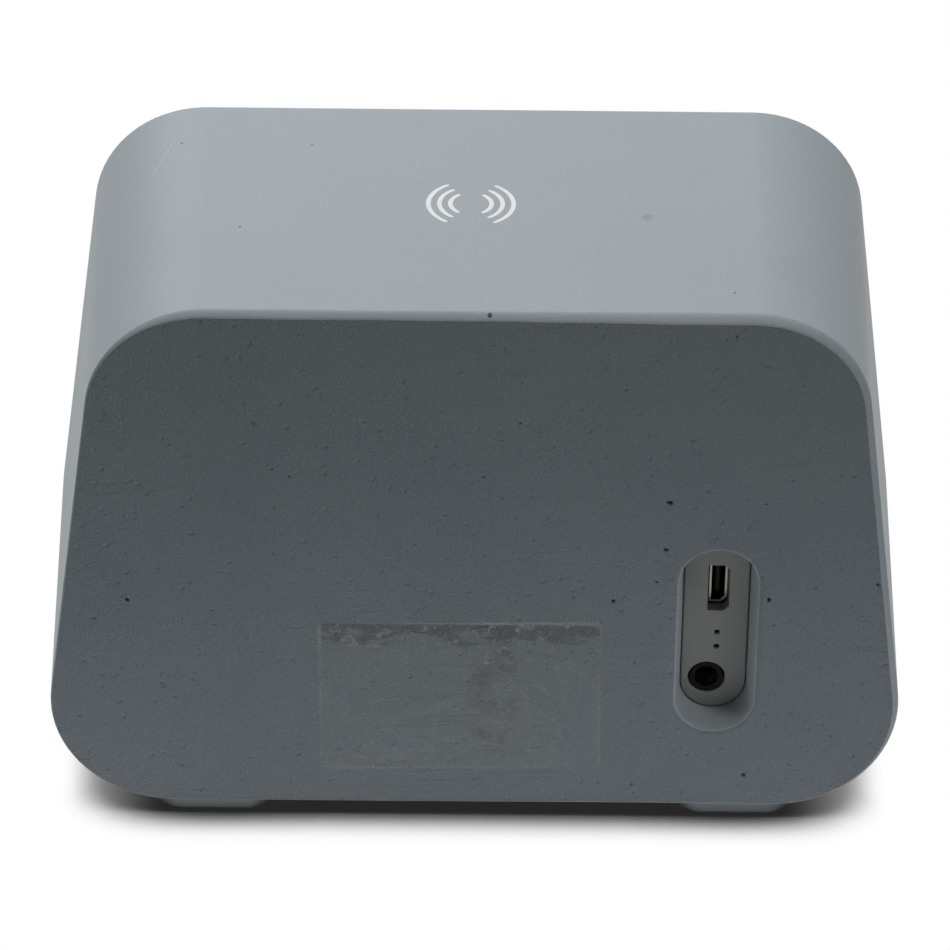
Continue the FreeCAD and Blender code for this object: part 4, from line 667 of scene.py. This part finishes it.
def arc_strip(bm, radius):
    """One flat arc about the origin, spun from a short line and slimmed towards its ends."""
    first = bm.verts.new((radius - WAVE_STROKE / 2, 0, -INK))
    last = bm.verts.new((radius + WAVE_STROKE / 2, 0, -INK))
    edge = bm.edges.new((first, last))
    start_turn = Matrix.Rotation(-WAVE_HALF_ANGLE, 3, "Z")
    bmesh.ops.rotate(bm, verts=[first, last], cent=ORIGIN, matrix=start_turn)
    before = set(bm.verts) - {first, last}
    bmesh.ops.spin(
        bm, geom=[edge, first, last], cent=ORIGIN, axis=AXIS_Z, angle=2 * WAVE_HALF_ANGLE, steps=WAVE_STEPS
    )
    strip = [v for v in bm.verts if v not in before]
    for vert in strip:
        angle = math.atan2(vert.co.y, vert.co.x)
        share = abs(angle) / WAVE_HALF_ANGLE
        end = math.sqrt(max(1 - ease(share, WAVE_END, 1.0), WAVE_TIP))
        slim = (1 - WAVE_SLIMMING * share ** 2) * end
        flat = Vector((vert.co.x, vert.co.y, 0))
        reach = radius + (flat.length - radius) * slim
        vert.co.x, vert.co.y = flat.normalized().x * reach, flat.normalized().y * reach
    faces = [f for f in bm.faces if all(v not in before for v in f.verts)]
    raised = bmesh.ops.extrude_face_region(bm, geom=faces)
    top = [item for item in raised["geom"] if isinstance(item, bmesh.types.BMVert)]
    bmesh.ops.translate(bm, verts=top, vec=(0, 0, INK * 1.5))
    return [v for v in bm.verts if v not in before]


def label_film():
    """A blank clear film on the back, with small round corners."""
    bm = bmesh.new()
    bmesh.ops.create_cube(bm, size=1)
    bmesh.ops.scale(bm, vec=FILM_SIZE, verts=bm.verts)
    corners = [e for e in bm.edges if abs(e.verts[0].co.y - e.verts[1].co.y) > WELD]
    bmesh.ops.bevel(
        bm, geom=corners, offset=FILM_CORNER, segments=4, profile=0.5, affect="EDGES", material=-1
    )
    bmesh.ops.rotate(bm, verts=bm.verts, cent=ORIGIN, matrix=Matrix.Rotation(FILM_TURN, 3, "Y"))
    bmesh.ops.translate(bm, verts=bm.verts, vec=FILM_CENTRE + Vector((0, BACK_Y - FILM_SIZE.y / 2, 0)))
    piece("label_film", bm, [FILM], "housing")


# Port details

PANEL_ROUND = 0.3 * MM
HOLE_ROUND = 0.16 * MM
BORDER_SHARE = 0.95

CONTACTS = 5
CONTACT_PITCH = 0.65 * MM
CONTACT_THICK = 0.1 * MM
CONTACT_WIDTH = 0.36 * MM
CONTACT_LENGTH_SHARE = 0.8
CONTACT_ROUND = 0.03 * MM


def panel_moulding():
    """The port panel, pillowed at its border and eased round its holes."""
    bm = whole_faces("port_panel")
    level = max(f.calc_center_median().y for f in bm.faces if f.normal.y > 0.99)
    face = {f for f in bm.faces if f.normal.y > 0.99 and f.calc_center_median().y > level - WELD}
    outline = [e for e in bm.edges if len([f for f in e.link_faces if f in face]) == 1]
    low_x = min(v.co.x for e in outline for v in e.verts)
    high_x = max(v.co.x for e in outline for v in e.verts)
    low_z = min(v.co.z for e in outline for v in e.verts)
    high_z = max(v.co.z for e in outline for v in e.verts)
    middle, radius = (low_x + high_x) / 2, (high_x - low_x) / 2
    border, holes = [], []
    for edge in outline:
        spot = (edge.verts[0].co + edge.verts[1].co) / 2
        height = min(max(spot.z, low_z + radius), high_z - radius)
        away = math.hypot(spot.x - middle, spot.z - height)
        (border if away > BORDER_SHARE * radius else holes).append(edge)
    bmesh.ops.bevel(bm, geom=holes, offset=HOLE_ROUND, segments=2, profile=0.5, affect="EDGES", material=-1)
    border = [e for e in border if e.is_valid]
    bmesh.ops.bevel(bm, geom=border, offset=PANEL_ROUND, segments=5, profile=0.5, affect="EDGES", material=-1)
    panel = piece("panel_moulding", bm, [SLOTS["panel_plastic"]], "housing", sharp=50)
    panel.modifiers.new("flat faces stay flat", "WEIGHTED_NORMAL").keep_sharp = True
    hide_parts("port_panel")


def usb_contacts():
    """Spring contacts in a row on the socket's tongue."""
    low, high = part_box("usb_tongue")
    middle = (low + high) / 2
    size = (CONTACT_THICK, (high.y - low.y) * CONTACT_LENGTH_SHARE, CONTACT_WIDTH)
    bm = bmesh.new()
    for i in range(CONTACTS):
        contact = bmesh.ops.create_cube(bm, size=1)["verts"]
        bmesh.ops.scale(bm, vec=size, verts=contact)
        spot = Vector((low.x, middle.y, middle.z + (i - CONTACTS // 2) * CONTACT_PITCH))
        bmesh.ops.translate(bm, verts=contact, vec=spot)
    bmesh.ops.bevel(
        bm, geom=bm.edges[:], offset=CONTACT_ROUND, segments=1, profile=0.5, affect="EDGES", material=-1
    )
    piece("usb_contacts", bm, [GOLD], "housing")


# Front: stretched cloth and key marks

CLOTH_GRID = THREAD / 3
CLOTH_THICK = 0.5 * MM
CLOTH_WRAP = 2.6 * MM
CLOTH_DEPTH = 0.15 * MM
WEAVE_RELIEF = 0.09 * MM

KEY_MARK = 0.12 * MM
MARK_LINE = 0.35 * MM
MARK_LENGTH = 2.2 * MM
STANDBY_LINE = 1.1 * MM
STANDBY_LIFT = 0.75 * MM
RING_RADIUS = 1.05 * MM
RING_HALF_LINE = 0.17 * MM
RING_OPENING = math.radians(35)
RING_STEPS = 28


def grille_fabric():
    """The speaker cloth: woven relief over the frame, wrapped round its edges."""
    outline = whole_faces("grille_cloth")
    face = min(outline.faces, key=lambda f: (f.normal.y, -f.calc_area()))
    low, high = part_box("grille_cloth")
    columns = math.ceil((high.x - low.x) / CLOTH_GRID)
    rows = math.ceil((high.z - low.z) / CLOTH_GRID)
    bm = bmesh.new()
    bmesh.ops.create_grid(bm, x_segments=columns, y_segments=rows, size=0.5)
    bmesh.ops.scale(bm, vec=(columns * CLOTH_GRID, rows * CLOTH_GRID, 1), verts=bm.verts)
    bmesh.ops.rotate(bm, verts=bm.verts, cent=ORIGIN, matrix=Matrix.Rotation(math.pi / 2, 3, "X"))
    middle = Vector(((low.x + high.x) / 2, low.y + CLOTH_DEPTH, (low.z + high.z) / 2))
    bmesh.ops.translate(bm, verts=bm.verts, vec=middle)
    for loop in face.loops:
        run = loop.link_loop_next.vert.co - loop.vert.co
        outward = run.cross(face.normal)
        everything = bm.verts[:] + bm.edges[:] + bm.faces[:]
        bmesh.ops.bisect_plane(
            bm, geom=everything, dist=WELD, plane_co=loop.vert.co, plane_no=outward, clear_outer=True
        )
    outline.free()
    edge = [e for e in bm.edges if e.is_boundary]
    border = {v for e in edge for v in e.verts}
    for vert in bm.verts:
        if vert not in border:
            wave = math.cos(math.pi * vert.co.x / THREAD) * math.cos(math.pi * vert.co.z / THREAD)
            vert.co.y -= WEAVE_RELIEF * wave
    fold = bmesh.ops.extrude_edge_only(bm, edges=edge)["geom"]
    turned_in = [item for item in fold if isinstance(item, bmesh.types.BMVert)]
    bmesh.ops.translate(bm, verts=turned_in, vec=(0, CLOTH_WRAP, 0))
    bmesh.ops.recalc_face_normals(bm, faces=bm.faces)
    area = sum(f.calc_area() for f in bm.faces)
    cloth = piece("grille_fabric", bm, [CLOTH], "housing", sharp=60)
    wall = cloth.modifiers.new("cloth thickness", "SOLIDIFY")
    wall.thickness = CLOTH_THICK
    wall.offset = -1
    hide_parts("grille_cloth")


def bar(bm, length, height, place):
    """A raised bar, as part of a key's mark."""
    made = bmesh.ops.create_cube(bm, size=1)["verts"]
    bmesh.ops.scale(bm, vec=(length, KEY_MARK, height), verts=made)
    bmesh.ops.translate(bm, verts=made, vec=place)


def key_marks():
    """Raised minus, standby and plus marks on the three keys."""
    for key in ("volume_down_button", "power_button", "volume_up_button"):
        low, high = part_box(key)
        place = Vector(((low.x + high.x) / 2, low.y, (low.z + high.z) / 2))
        bm = bmesh.new()
        if key == "power_button":
            ring = standby_ring(bm)
            bmesh.ops.translate(bm, verts=ring, vec=place)
            bar(bm, MARK_LINE, STANDBY_LINE, place + AXIS_Z * STANDBY_LIFT)
        else:
            bar(bm, MARK_LENGTH, MARK_LINE, place)
        if key == "volume_up_button":
            bar(bm, MARK_LINE, MARK_LENGTH, place)
        bmesh.ops.recalc_face_normals(bm, faces=bm.faces)
        piece(key.replace("button", "mark"), bm, [INK_WHITE], key)


def standby_ring(bm):
    """A ring that is open at the top, spun round from a small square section."""
    inner, outer = RING_RADIUS - RING_HALF_LINE, RING_RADIUS + RING_HALF_LINE
    corners = [(inner, -KEY_MARK / 2), (outer, -KEY_MARK / 2), (outer, KEY_MARK / 2), (inner, KEY_MARK / 2)]
    section = bm.faces.new([bm.verts.new((r, y, 0)) for r, y in corners])
    turn = Matrix.Rotation(-(math.pi / 2 - RING_OPENING), 3, "Y")
    bmesh.ops.rotate(bm, verts=section.verts[:], cent=ORIGIN, matrix=turn)
    bmesh.ops.spin(
        bm, geom=[section] + section.edges[:] + section.verts[:], cent=ORIGIN, axis=AXIS_Y,
        angle=2 * math.pi - 2 * RING_OPENING, steps=RING_STEPS,
    )
    return bm.verts[:]


# Soft rings between the basket and the cone


def soft_ring(node, slot):
    """A merged copy of a ring, in the place of its CAD node, riding on no body.
    Its points stand in a row by radius, and then go back to their places."""
    bm = bmesh.new()
    bm.from_mesh(NODES[node].data)
    bmesh.ops.remove_doubles(bm, verts=bm.verts, dist=WELD)
    ring = piece(node + "_ring", bm, [SLOTS[slot]], None)
    low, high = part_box(node)
    axis = (low + high) / 2
    places = [vert.co.copy() for vert in ring.data.vertices]
    for vert in ring.data.vertices:
        vert.co = (math.hypot(vert.co.x - axis.x, vert.co.z - axis.z), 0, 0)
    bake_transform(ring)
    for vert, place in zip(ring.data.vertices, places):
        vert.co = place
    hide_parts(node)


# Finishes

# Marks on the cement: centre, half sizes, turn, stain and strength. Marks on the top reach down through it.
UNTURNED = (0.0, 0.0, 0.0)
THROUGH = 9 * MM
MOULD_MARK = ((-24.3 * MM, 2.1 * MM, TOP_Z), (MM, MM, THROUGH), UNTURNED, "788086", 0.5)
TOP_SCRATCH = (
    (46.9 * MM, -15.1 * MM, TOP_Z), (0.22 * MM, 5.6 * MM, THROUGH), (0.0, 0.0, -0.34), "b4bbbf", 0.3,
)
# A small dark spot drawn in colour on the sanded edge near the top
RIM_DARK_SPOT = (
    (-1.4 * MM, BACK_Y - 0.35 * MM, TOP_Z - 0.3 * MM), (0.45 * MM, 0.55 * MM, 0.45 * MM), UNTURNED,
    "2c2f31", 0.85,
)
SPECK_SPOTS = ((34.6, 5.9), (44.1, -18.4), (24.8, -17.7), (-36.1, 22.6))
TOP_SPECKS = [
    ((x * MM, y * MM, TOP_Z), (0.26 * MM, 0.3 * MM, THROUGH), UNTURNED, "4d5357", 0.7) for x, y in SPECK_SPOTS
]

# Cast on a smooth mould: an even blue grey with a low satin shine
CAST = cement(
    "cement, cast on a smooth mould", "9aa3a9", "90999f", grain=0.03, dimple=0.0, rubbing=0.0, pinholes=0.006,
    marks=[MOULD_MARK, TOP_SCRATCH] + TOP_SPECKS,
    Roughness=0.5, Specular_IOR_Level=0.28, Coat_Weight=0.08, Coat_Roughness=0.3,
)
# Screeded while wet and rubbed when dry: dull and darker, with grains, dimples and faint strokes
SCREEDED = cement(
    "cement, screeded and rubbed", "8c9499", "757d83", grain=0.34, dimple=0.32, rubbing=0.45, pinholes=0.03,
    Roughness=0.85, Specular_IOR_Level=0.15,
)
# Sanded by hand: a pale, dusty line round the back
SANDED = cement(
    "cement, edge sanded by hand", "a7b0b5", "9aa3a7", grain=0.05, dimple=0.0, rubbing=0.3, pinholes=0.02,
    marks=[RIM_DARK_SPOT],
    Roughness=0.7, Specular_IOR_Level=0.25,
)
# Cast against a core: smooth walls without shine, drawn paler than the cast faces as painted light on the
# pocket walls
POCKET_CAST_AND_PAINTED_LIGHT = cement(
    "cement, cast against the pocket core", "a6aeb3", "979fa4",
    grain=0.03, dimple=0.0, rubbing=0.0, pinholes=0.01,
    Roughness=0.7, Specular_IOR_Level=0.2,
)
# Clear film: the cement shows through it, under a cloudy band, and an edge and bubbles drawn light as painted
# highlights
FILM = clear_film()
# Heather cloth: dark and light grey threads in short streaks
CLOTH = knit(THREAD / MM)
# Screen print: an opaque, even white that hardly stands up
INK_WHITE = finish("screen print ink, white", "e6e6e7", "dadadb", 0.5, 0.3, 0.004)
# Gold flash: small warm glints in the dark socket
GOLD = finish("gold flash on copper", "e0b765", "c99c4c", 0.25, 0.2, 0.003, Metallic=1.0)

# Each slot's finish: name, light and dark tone, roughness, grain and relief in mm. Mould grains, foam cells
# and fibres are drawn coarser than the real ones, which are too fine to show.
SLOTS = {
    # Soft and dull, a little lighter than the cement
    "foot_rubber": finish("silicone rubber, moulded", "969da1", "8b9296", 0.7, 0.25, 0.012),
    # A fine even grain that spreads the light
    "panel_plastic": finish("ABS, moulded with a spark texture", "7f8080", "757676", 0.55, 0.18, 0.012),
    # Near black dots with a faint polish: the dark is painted shade of the holes the light pipes sit in
    "clear_acrylic": finish(
        "acrylic light pipe, near black as painted shade", "0a0a0b", "050505", 0.2, 0.4, 0.002, Specular_IOR_Level=0.1
    ),
    # A bright lip round a mouth darkened with painted shade
    "socket_steel": socket_shell(),
    # Deep black with a weak shine
    "socket_plastic": finish(
        "polyamide, moulded black", "0a0a0a", "060606", 0.35, 0.2, 0.004, Specular_IOR_Level=0.07
    ),
    # A soft grey shine
    "contact_metal": finish("phosphor bronze, tinned", "b9b3a8", "98938a", 0.3, 0.2, 0.003, Metallic=1.0),
    # Milky and smooth
    "light_body": finish("epoxy, cast lamp body", "d9d7cf", "c3c1ba", 0.3, 0.3, 0.002),
    # Dark grey with the mould's fine grain
    "frame_plastic": finish("ABS, moulded dark grey", "45484a", "3a3d3f", 0.55, 0.18, 0.012),
    # Nearly black and dull, so that the marks stand out
    "key_rubber": finish("silicone rubber, dark keys", "2e3032", "262829", 0.62, 0.2, 0.008),
    # A cool plated shine with slight clouds
    "zinc_steel": finish("steel, zinc plated", "b7b9bb", "9a9da0", 0.3, 0.35, 0.004, Metallic=1.0),
    # Warm yellow, bright from the tool
    "insert_brass": finish("brass, turned", "c9a24e", "a98436", 0.3, 0.3, 0.004, Metallic=1.0),
    # Rough black pores
    "foam": finish("polyurethane foam, open cell", "3a3a3b", "1d1d1e", 0.95, 0.35, 0.12),
    # An even satin black
    "basket_steel": finish("steel, pressed and black coated", "2a2b2c", "202122", 0.45, 0.3, 0.006),
    # A stony dark grey
    "ferrite": finish("ferrite, sintered", "4a4a4c", "38383a", 0.7, 0.4, 0.02),
    # Amber and glossy
    "former_foil": finish("polyimide, wound foil", "a8641e", "8d5016", 0.3, 0.4, 0.003),
    # Copper lines, turn by turn, with painted shade between the turns
    "copper": wound_wire(),
    # Black felted fibres without shine
    "cone_paper": finish("paper pulp, pressed", "2a2a2a", "191919", 0.85, 0.5, 0.03),
    # A smooth dull black roll
    "surround_rubber": finish("butyl rubber, moulded roll", "1e1e1f", "161617", 0.6, 0.3, 0.006),
    # A tan weave, stiff and dry
    "spider_cloth": finish("cotton, phenolic stiffened", "b58a4b", "8e6730", 0.8, 0.4, 0.05),
    # Brown and fibrous
    "fibre": finish("vulcanised fibre board", "6b4a31", "553922", 0.8, 0.4, 0.02),
    # Deep green under a glossy varnish
    "circuit_board": finish("glass epoxy, green solder mask", "154029", "0f3220", 0.35, 0.5, 0.004),
    # Black with a very fine moulded grain
    "chip_plastic": finish("epoxy, moulded chip", "232425", "191a1b", 0.6, 0.15, 0.006),
    # Pale metal, slightly uneven
    "module_shield": finish("tin plated can, stamped", "c2c4c6", "a4a7aa", 0.34, 0.4, 0.006, Metallic=1.0),
    # Clean light metal
    "can_metal": finish("aluminium, drawn can", "c9cbcd", "b0b2b5", 0.3, 0.3, 0.004, Metallic=1.0),
    # A blue grey film with soft creases
    "battery_wrap": finish("polymer film, battery wrap", "8fa3ad", "7b9099", 0.35, 1.2, 0.03),
    # Smooth dark red
    "lead_sheath": finish("PVC, wire insulation", "8d2a24", "7a211c", 0.45, 0.3, 0.006),
}

for node in NODES.values():
    for socket in node.material_slots:
        if socket.material and socket.material.name in SLOTS:
            socket.material = SLOTS[socket.material.name]

cement_body()
wave_arcs()
label_film()
panel_moulding()
usb_contacts()
grille_fabric()
key_marks()
soft_ring("surround", "surround_rubber")
soft_ring("spider", "spider_cloth")


# Floor, lights and camera

FLOOR_HALF = 4.0
SHADOW_REACH = 0.009
SHADOW_SAMPLES = 24
SHADOW_FULL = 0.43
SHADOW_ENDS = (46 * MM, 66 * MM)
SHADOW_TONES = (0.02, 0.4)
FLOOR_BOUNCE = "8c8c8c"
WORLD_LIGHT = 0.035
BODY_MIDDLE = (0, 0, 0.05)


def background_rays(tree):
    """1 for rays that show the background itself: to the eye, mirrored or through glass."""
    path = add(tree, "LightPath")
    seen = path.outputs["Is Camera Ray"]
    for ray in ("Is Glossy Ray", "Is Transmission Ray"):
        seen = add(tree, "Math", {0: seen, 1: path.outputs[ray]}, operation="MAXIMUM").outputs[0]
    return seen


def white_floor():
    """White to the eye, with a contact shadow; a mid grey to the light that bounces off it."""
    bm = bmesh.new()
    bmesh.ops.create_grid(bm, x_segments=1, y_segments=1, size=FLOOR_HALF)
    mesh = bpy.data.meshes.new("floor")
    bm.to_mesh(mesh)
    bm.free()
    floor = bpy.data.objects.new("floor", mesh)
    bpy.context.scene.collection.objects.link(floor)
    material = bpy.data.materials.new("paper sweep, white")
    material.use_nodes = True
    tree = material.node_tree
    tree.nodes.remove(tree.nodes["Principled BSDF"])
    seen = background_rays(tree)
    near = add(tree, "AmbientOcclusion", {"Distance": SHADOW_REACH}, samples=SHADOW_SAMPLES)
    axes = add(tree, "SeparateXYZ", {"Vector": add(tree, "TexCoord").outputs["Object"]})
    aside = add(tree, "Math", {0: axes.outputs["X"]}, operation="ABSOLUTE")
    spill = add(tree, "MapRange", {
        "Value": aside.outputs[0], "From Min": SHADOW_ENDS[0], "From Max": SHADOW_ENDS[1],
        "To Min": SHADOW_TONES[0], "To Max": SHADOW_TONES[1],
    }, interpolation_type="SMOOTHSTEP")
    fade = add(tree, "MapRange", {
        "Value": near.outputs["AO"], "From Min": SHADOW_FULL, "From Max": 1.0, "To Min": spill.outputs[0],
    }, interpolation_type="SMOOTHERSTEP")
    glow = add(tree, "Emission", {"Color": linear("ffffff"), "Strength": fade.outputs[0]})
    paper = add(tree, "BsdfDiffuse", {"Color": linear(FLOOR_BOUNCE)})
    mixed = add(tree, "MixShader", {0: seen, 1: paper.outputs[0], 2: glow.outputs[0]})
    tree.links.new(mixed.outputs[0], tree.nodes["Material Output"].inputs["Surface"])
    mesh.materials.append(material)


def studio_world():
    """White behind the object; a dim even grey as light."""
    world = bpy.data.worlds.new("studio")
    bpy.context.scene.world = world
    world.use_nodes = True
    tree = world.node_tree
    strength = add(tree, "MapRange", {"Value": background_rays(tree), "To Min": WORLD_LIGHT, "To Max": 1.0})
    tree.links.new(strength.outputs[0], tree.nodes["Background"].inputs["Strength"])
    tree.nodes["Background"].inputs["Color"].default_value = linear("ffffff")


def softbox(name, place, aim, size, watts, seen=True):
    """A soft light of a width and a height that looks at a point."""
    data = bpy.data.lights.new(name, "AREA")
    data.shape = "RECTANGLE"
    data.size, data.size_y = size
    data.energy = watts
    lamp = bpy.data.objects.new(name, data)
    lamp.location = place
    lamp.rotation_euler = (Vector(aim) - Vector(place)).to_track_quat("-Z", "Y").to_euler()
    lamp.visible_camera = seen
    lamp.visible_glossy = seen
    bpy.context.scene.collection.objects.link(lamp)


CAMERA_PLACE = Vector((4.4, 660.5, 485.3)) * MM
CAMERA_TARGET = Vector((0.24, 3.5, 44.19)) * MM
CAMERA_ROLL = math.radians(0.74)
FOCAL_PIXELS = 5304
IMAGE_PIXELS = 950
SENSOR = 36


def photo_camera():
    """A long lens from behind and above, as the photograph was taken."""
    data = bpy.data.cameras.new("camera")
    data.sensor_width = SENSOR
    data.lens = SENSOR * FOCAL_PIXELS / IMAGE_PIXELS
    camera = bpy.data.objects.new("camera", data)
    look = (CAMERA_TARGET - CAMERA_PLACE).to_track_quat("-Z", "Y")
    camera.rotation_euler = (look @ Quaternion((0, 0, 1), CAMERA_ROLL)).to_euler()
    camera.location = CAMERA_PLACE
    bpy.context.scene.collection.objects.link(camera)
    bpy.context.scene.camera = camera


white_floor()
studio_world()
softbox("overhead key", place=(0.24, -0.20, 0.90), aim=BODY_MIDDLE, size=(0.6, 0.6), watts=6.3)
softbox("raking light", place=(-0.46, 0.35, 0.75), aim=BODY_MIDDLE, size=(0.2, 0.2), watts=1.75)
softbox("front fill", place=(0.15, -0.95, 0.30), aim=BODY_MIDDLE, size=(0.5, 0.5), watts=1.8)
softbox("side fill", place=(0.9, -0.25, 0.15), aim=BODY_MIDDLE, size=(0.5, 0.5), watts=0.35)
softbox("other side fill", place=(-0.9, -0.25, 0.15), aim=BODY_MIDDLE, size=(0.5, 0.5), watts=0.2)
# Light that the table throws back up at the foot of the back
softbox(
    "table bounce", place=(0, 0.0895, 0.0002), aim=(0, 0.0895, 1), size=(0.26, 0.12), watts=0.066, seen=False
)
photo_camera()
bpy.context.scene.view_settings.view_transform = "Standard"
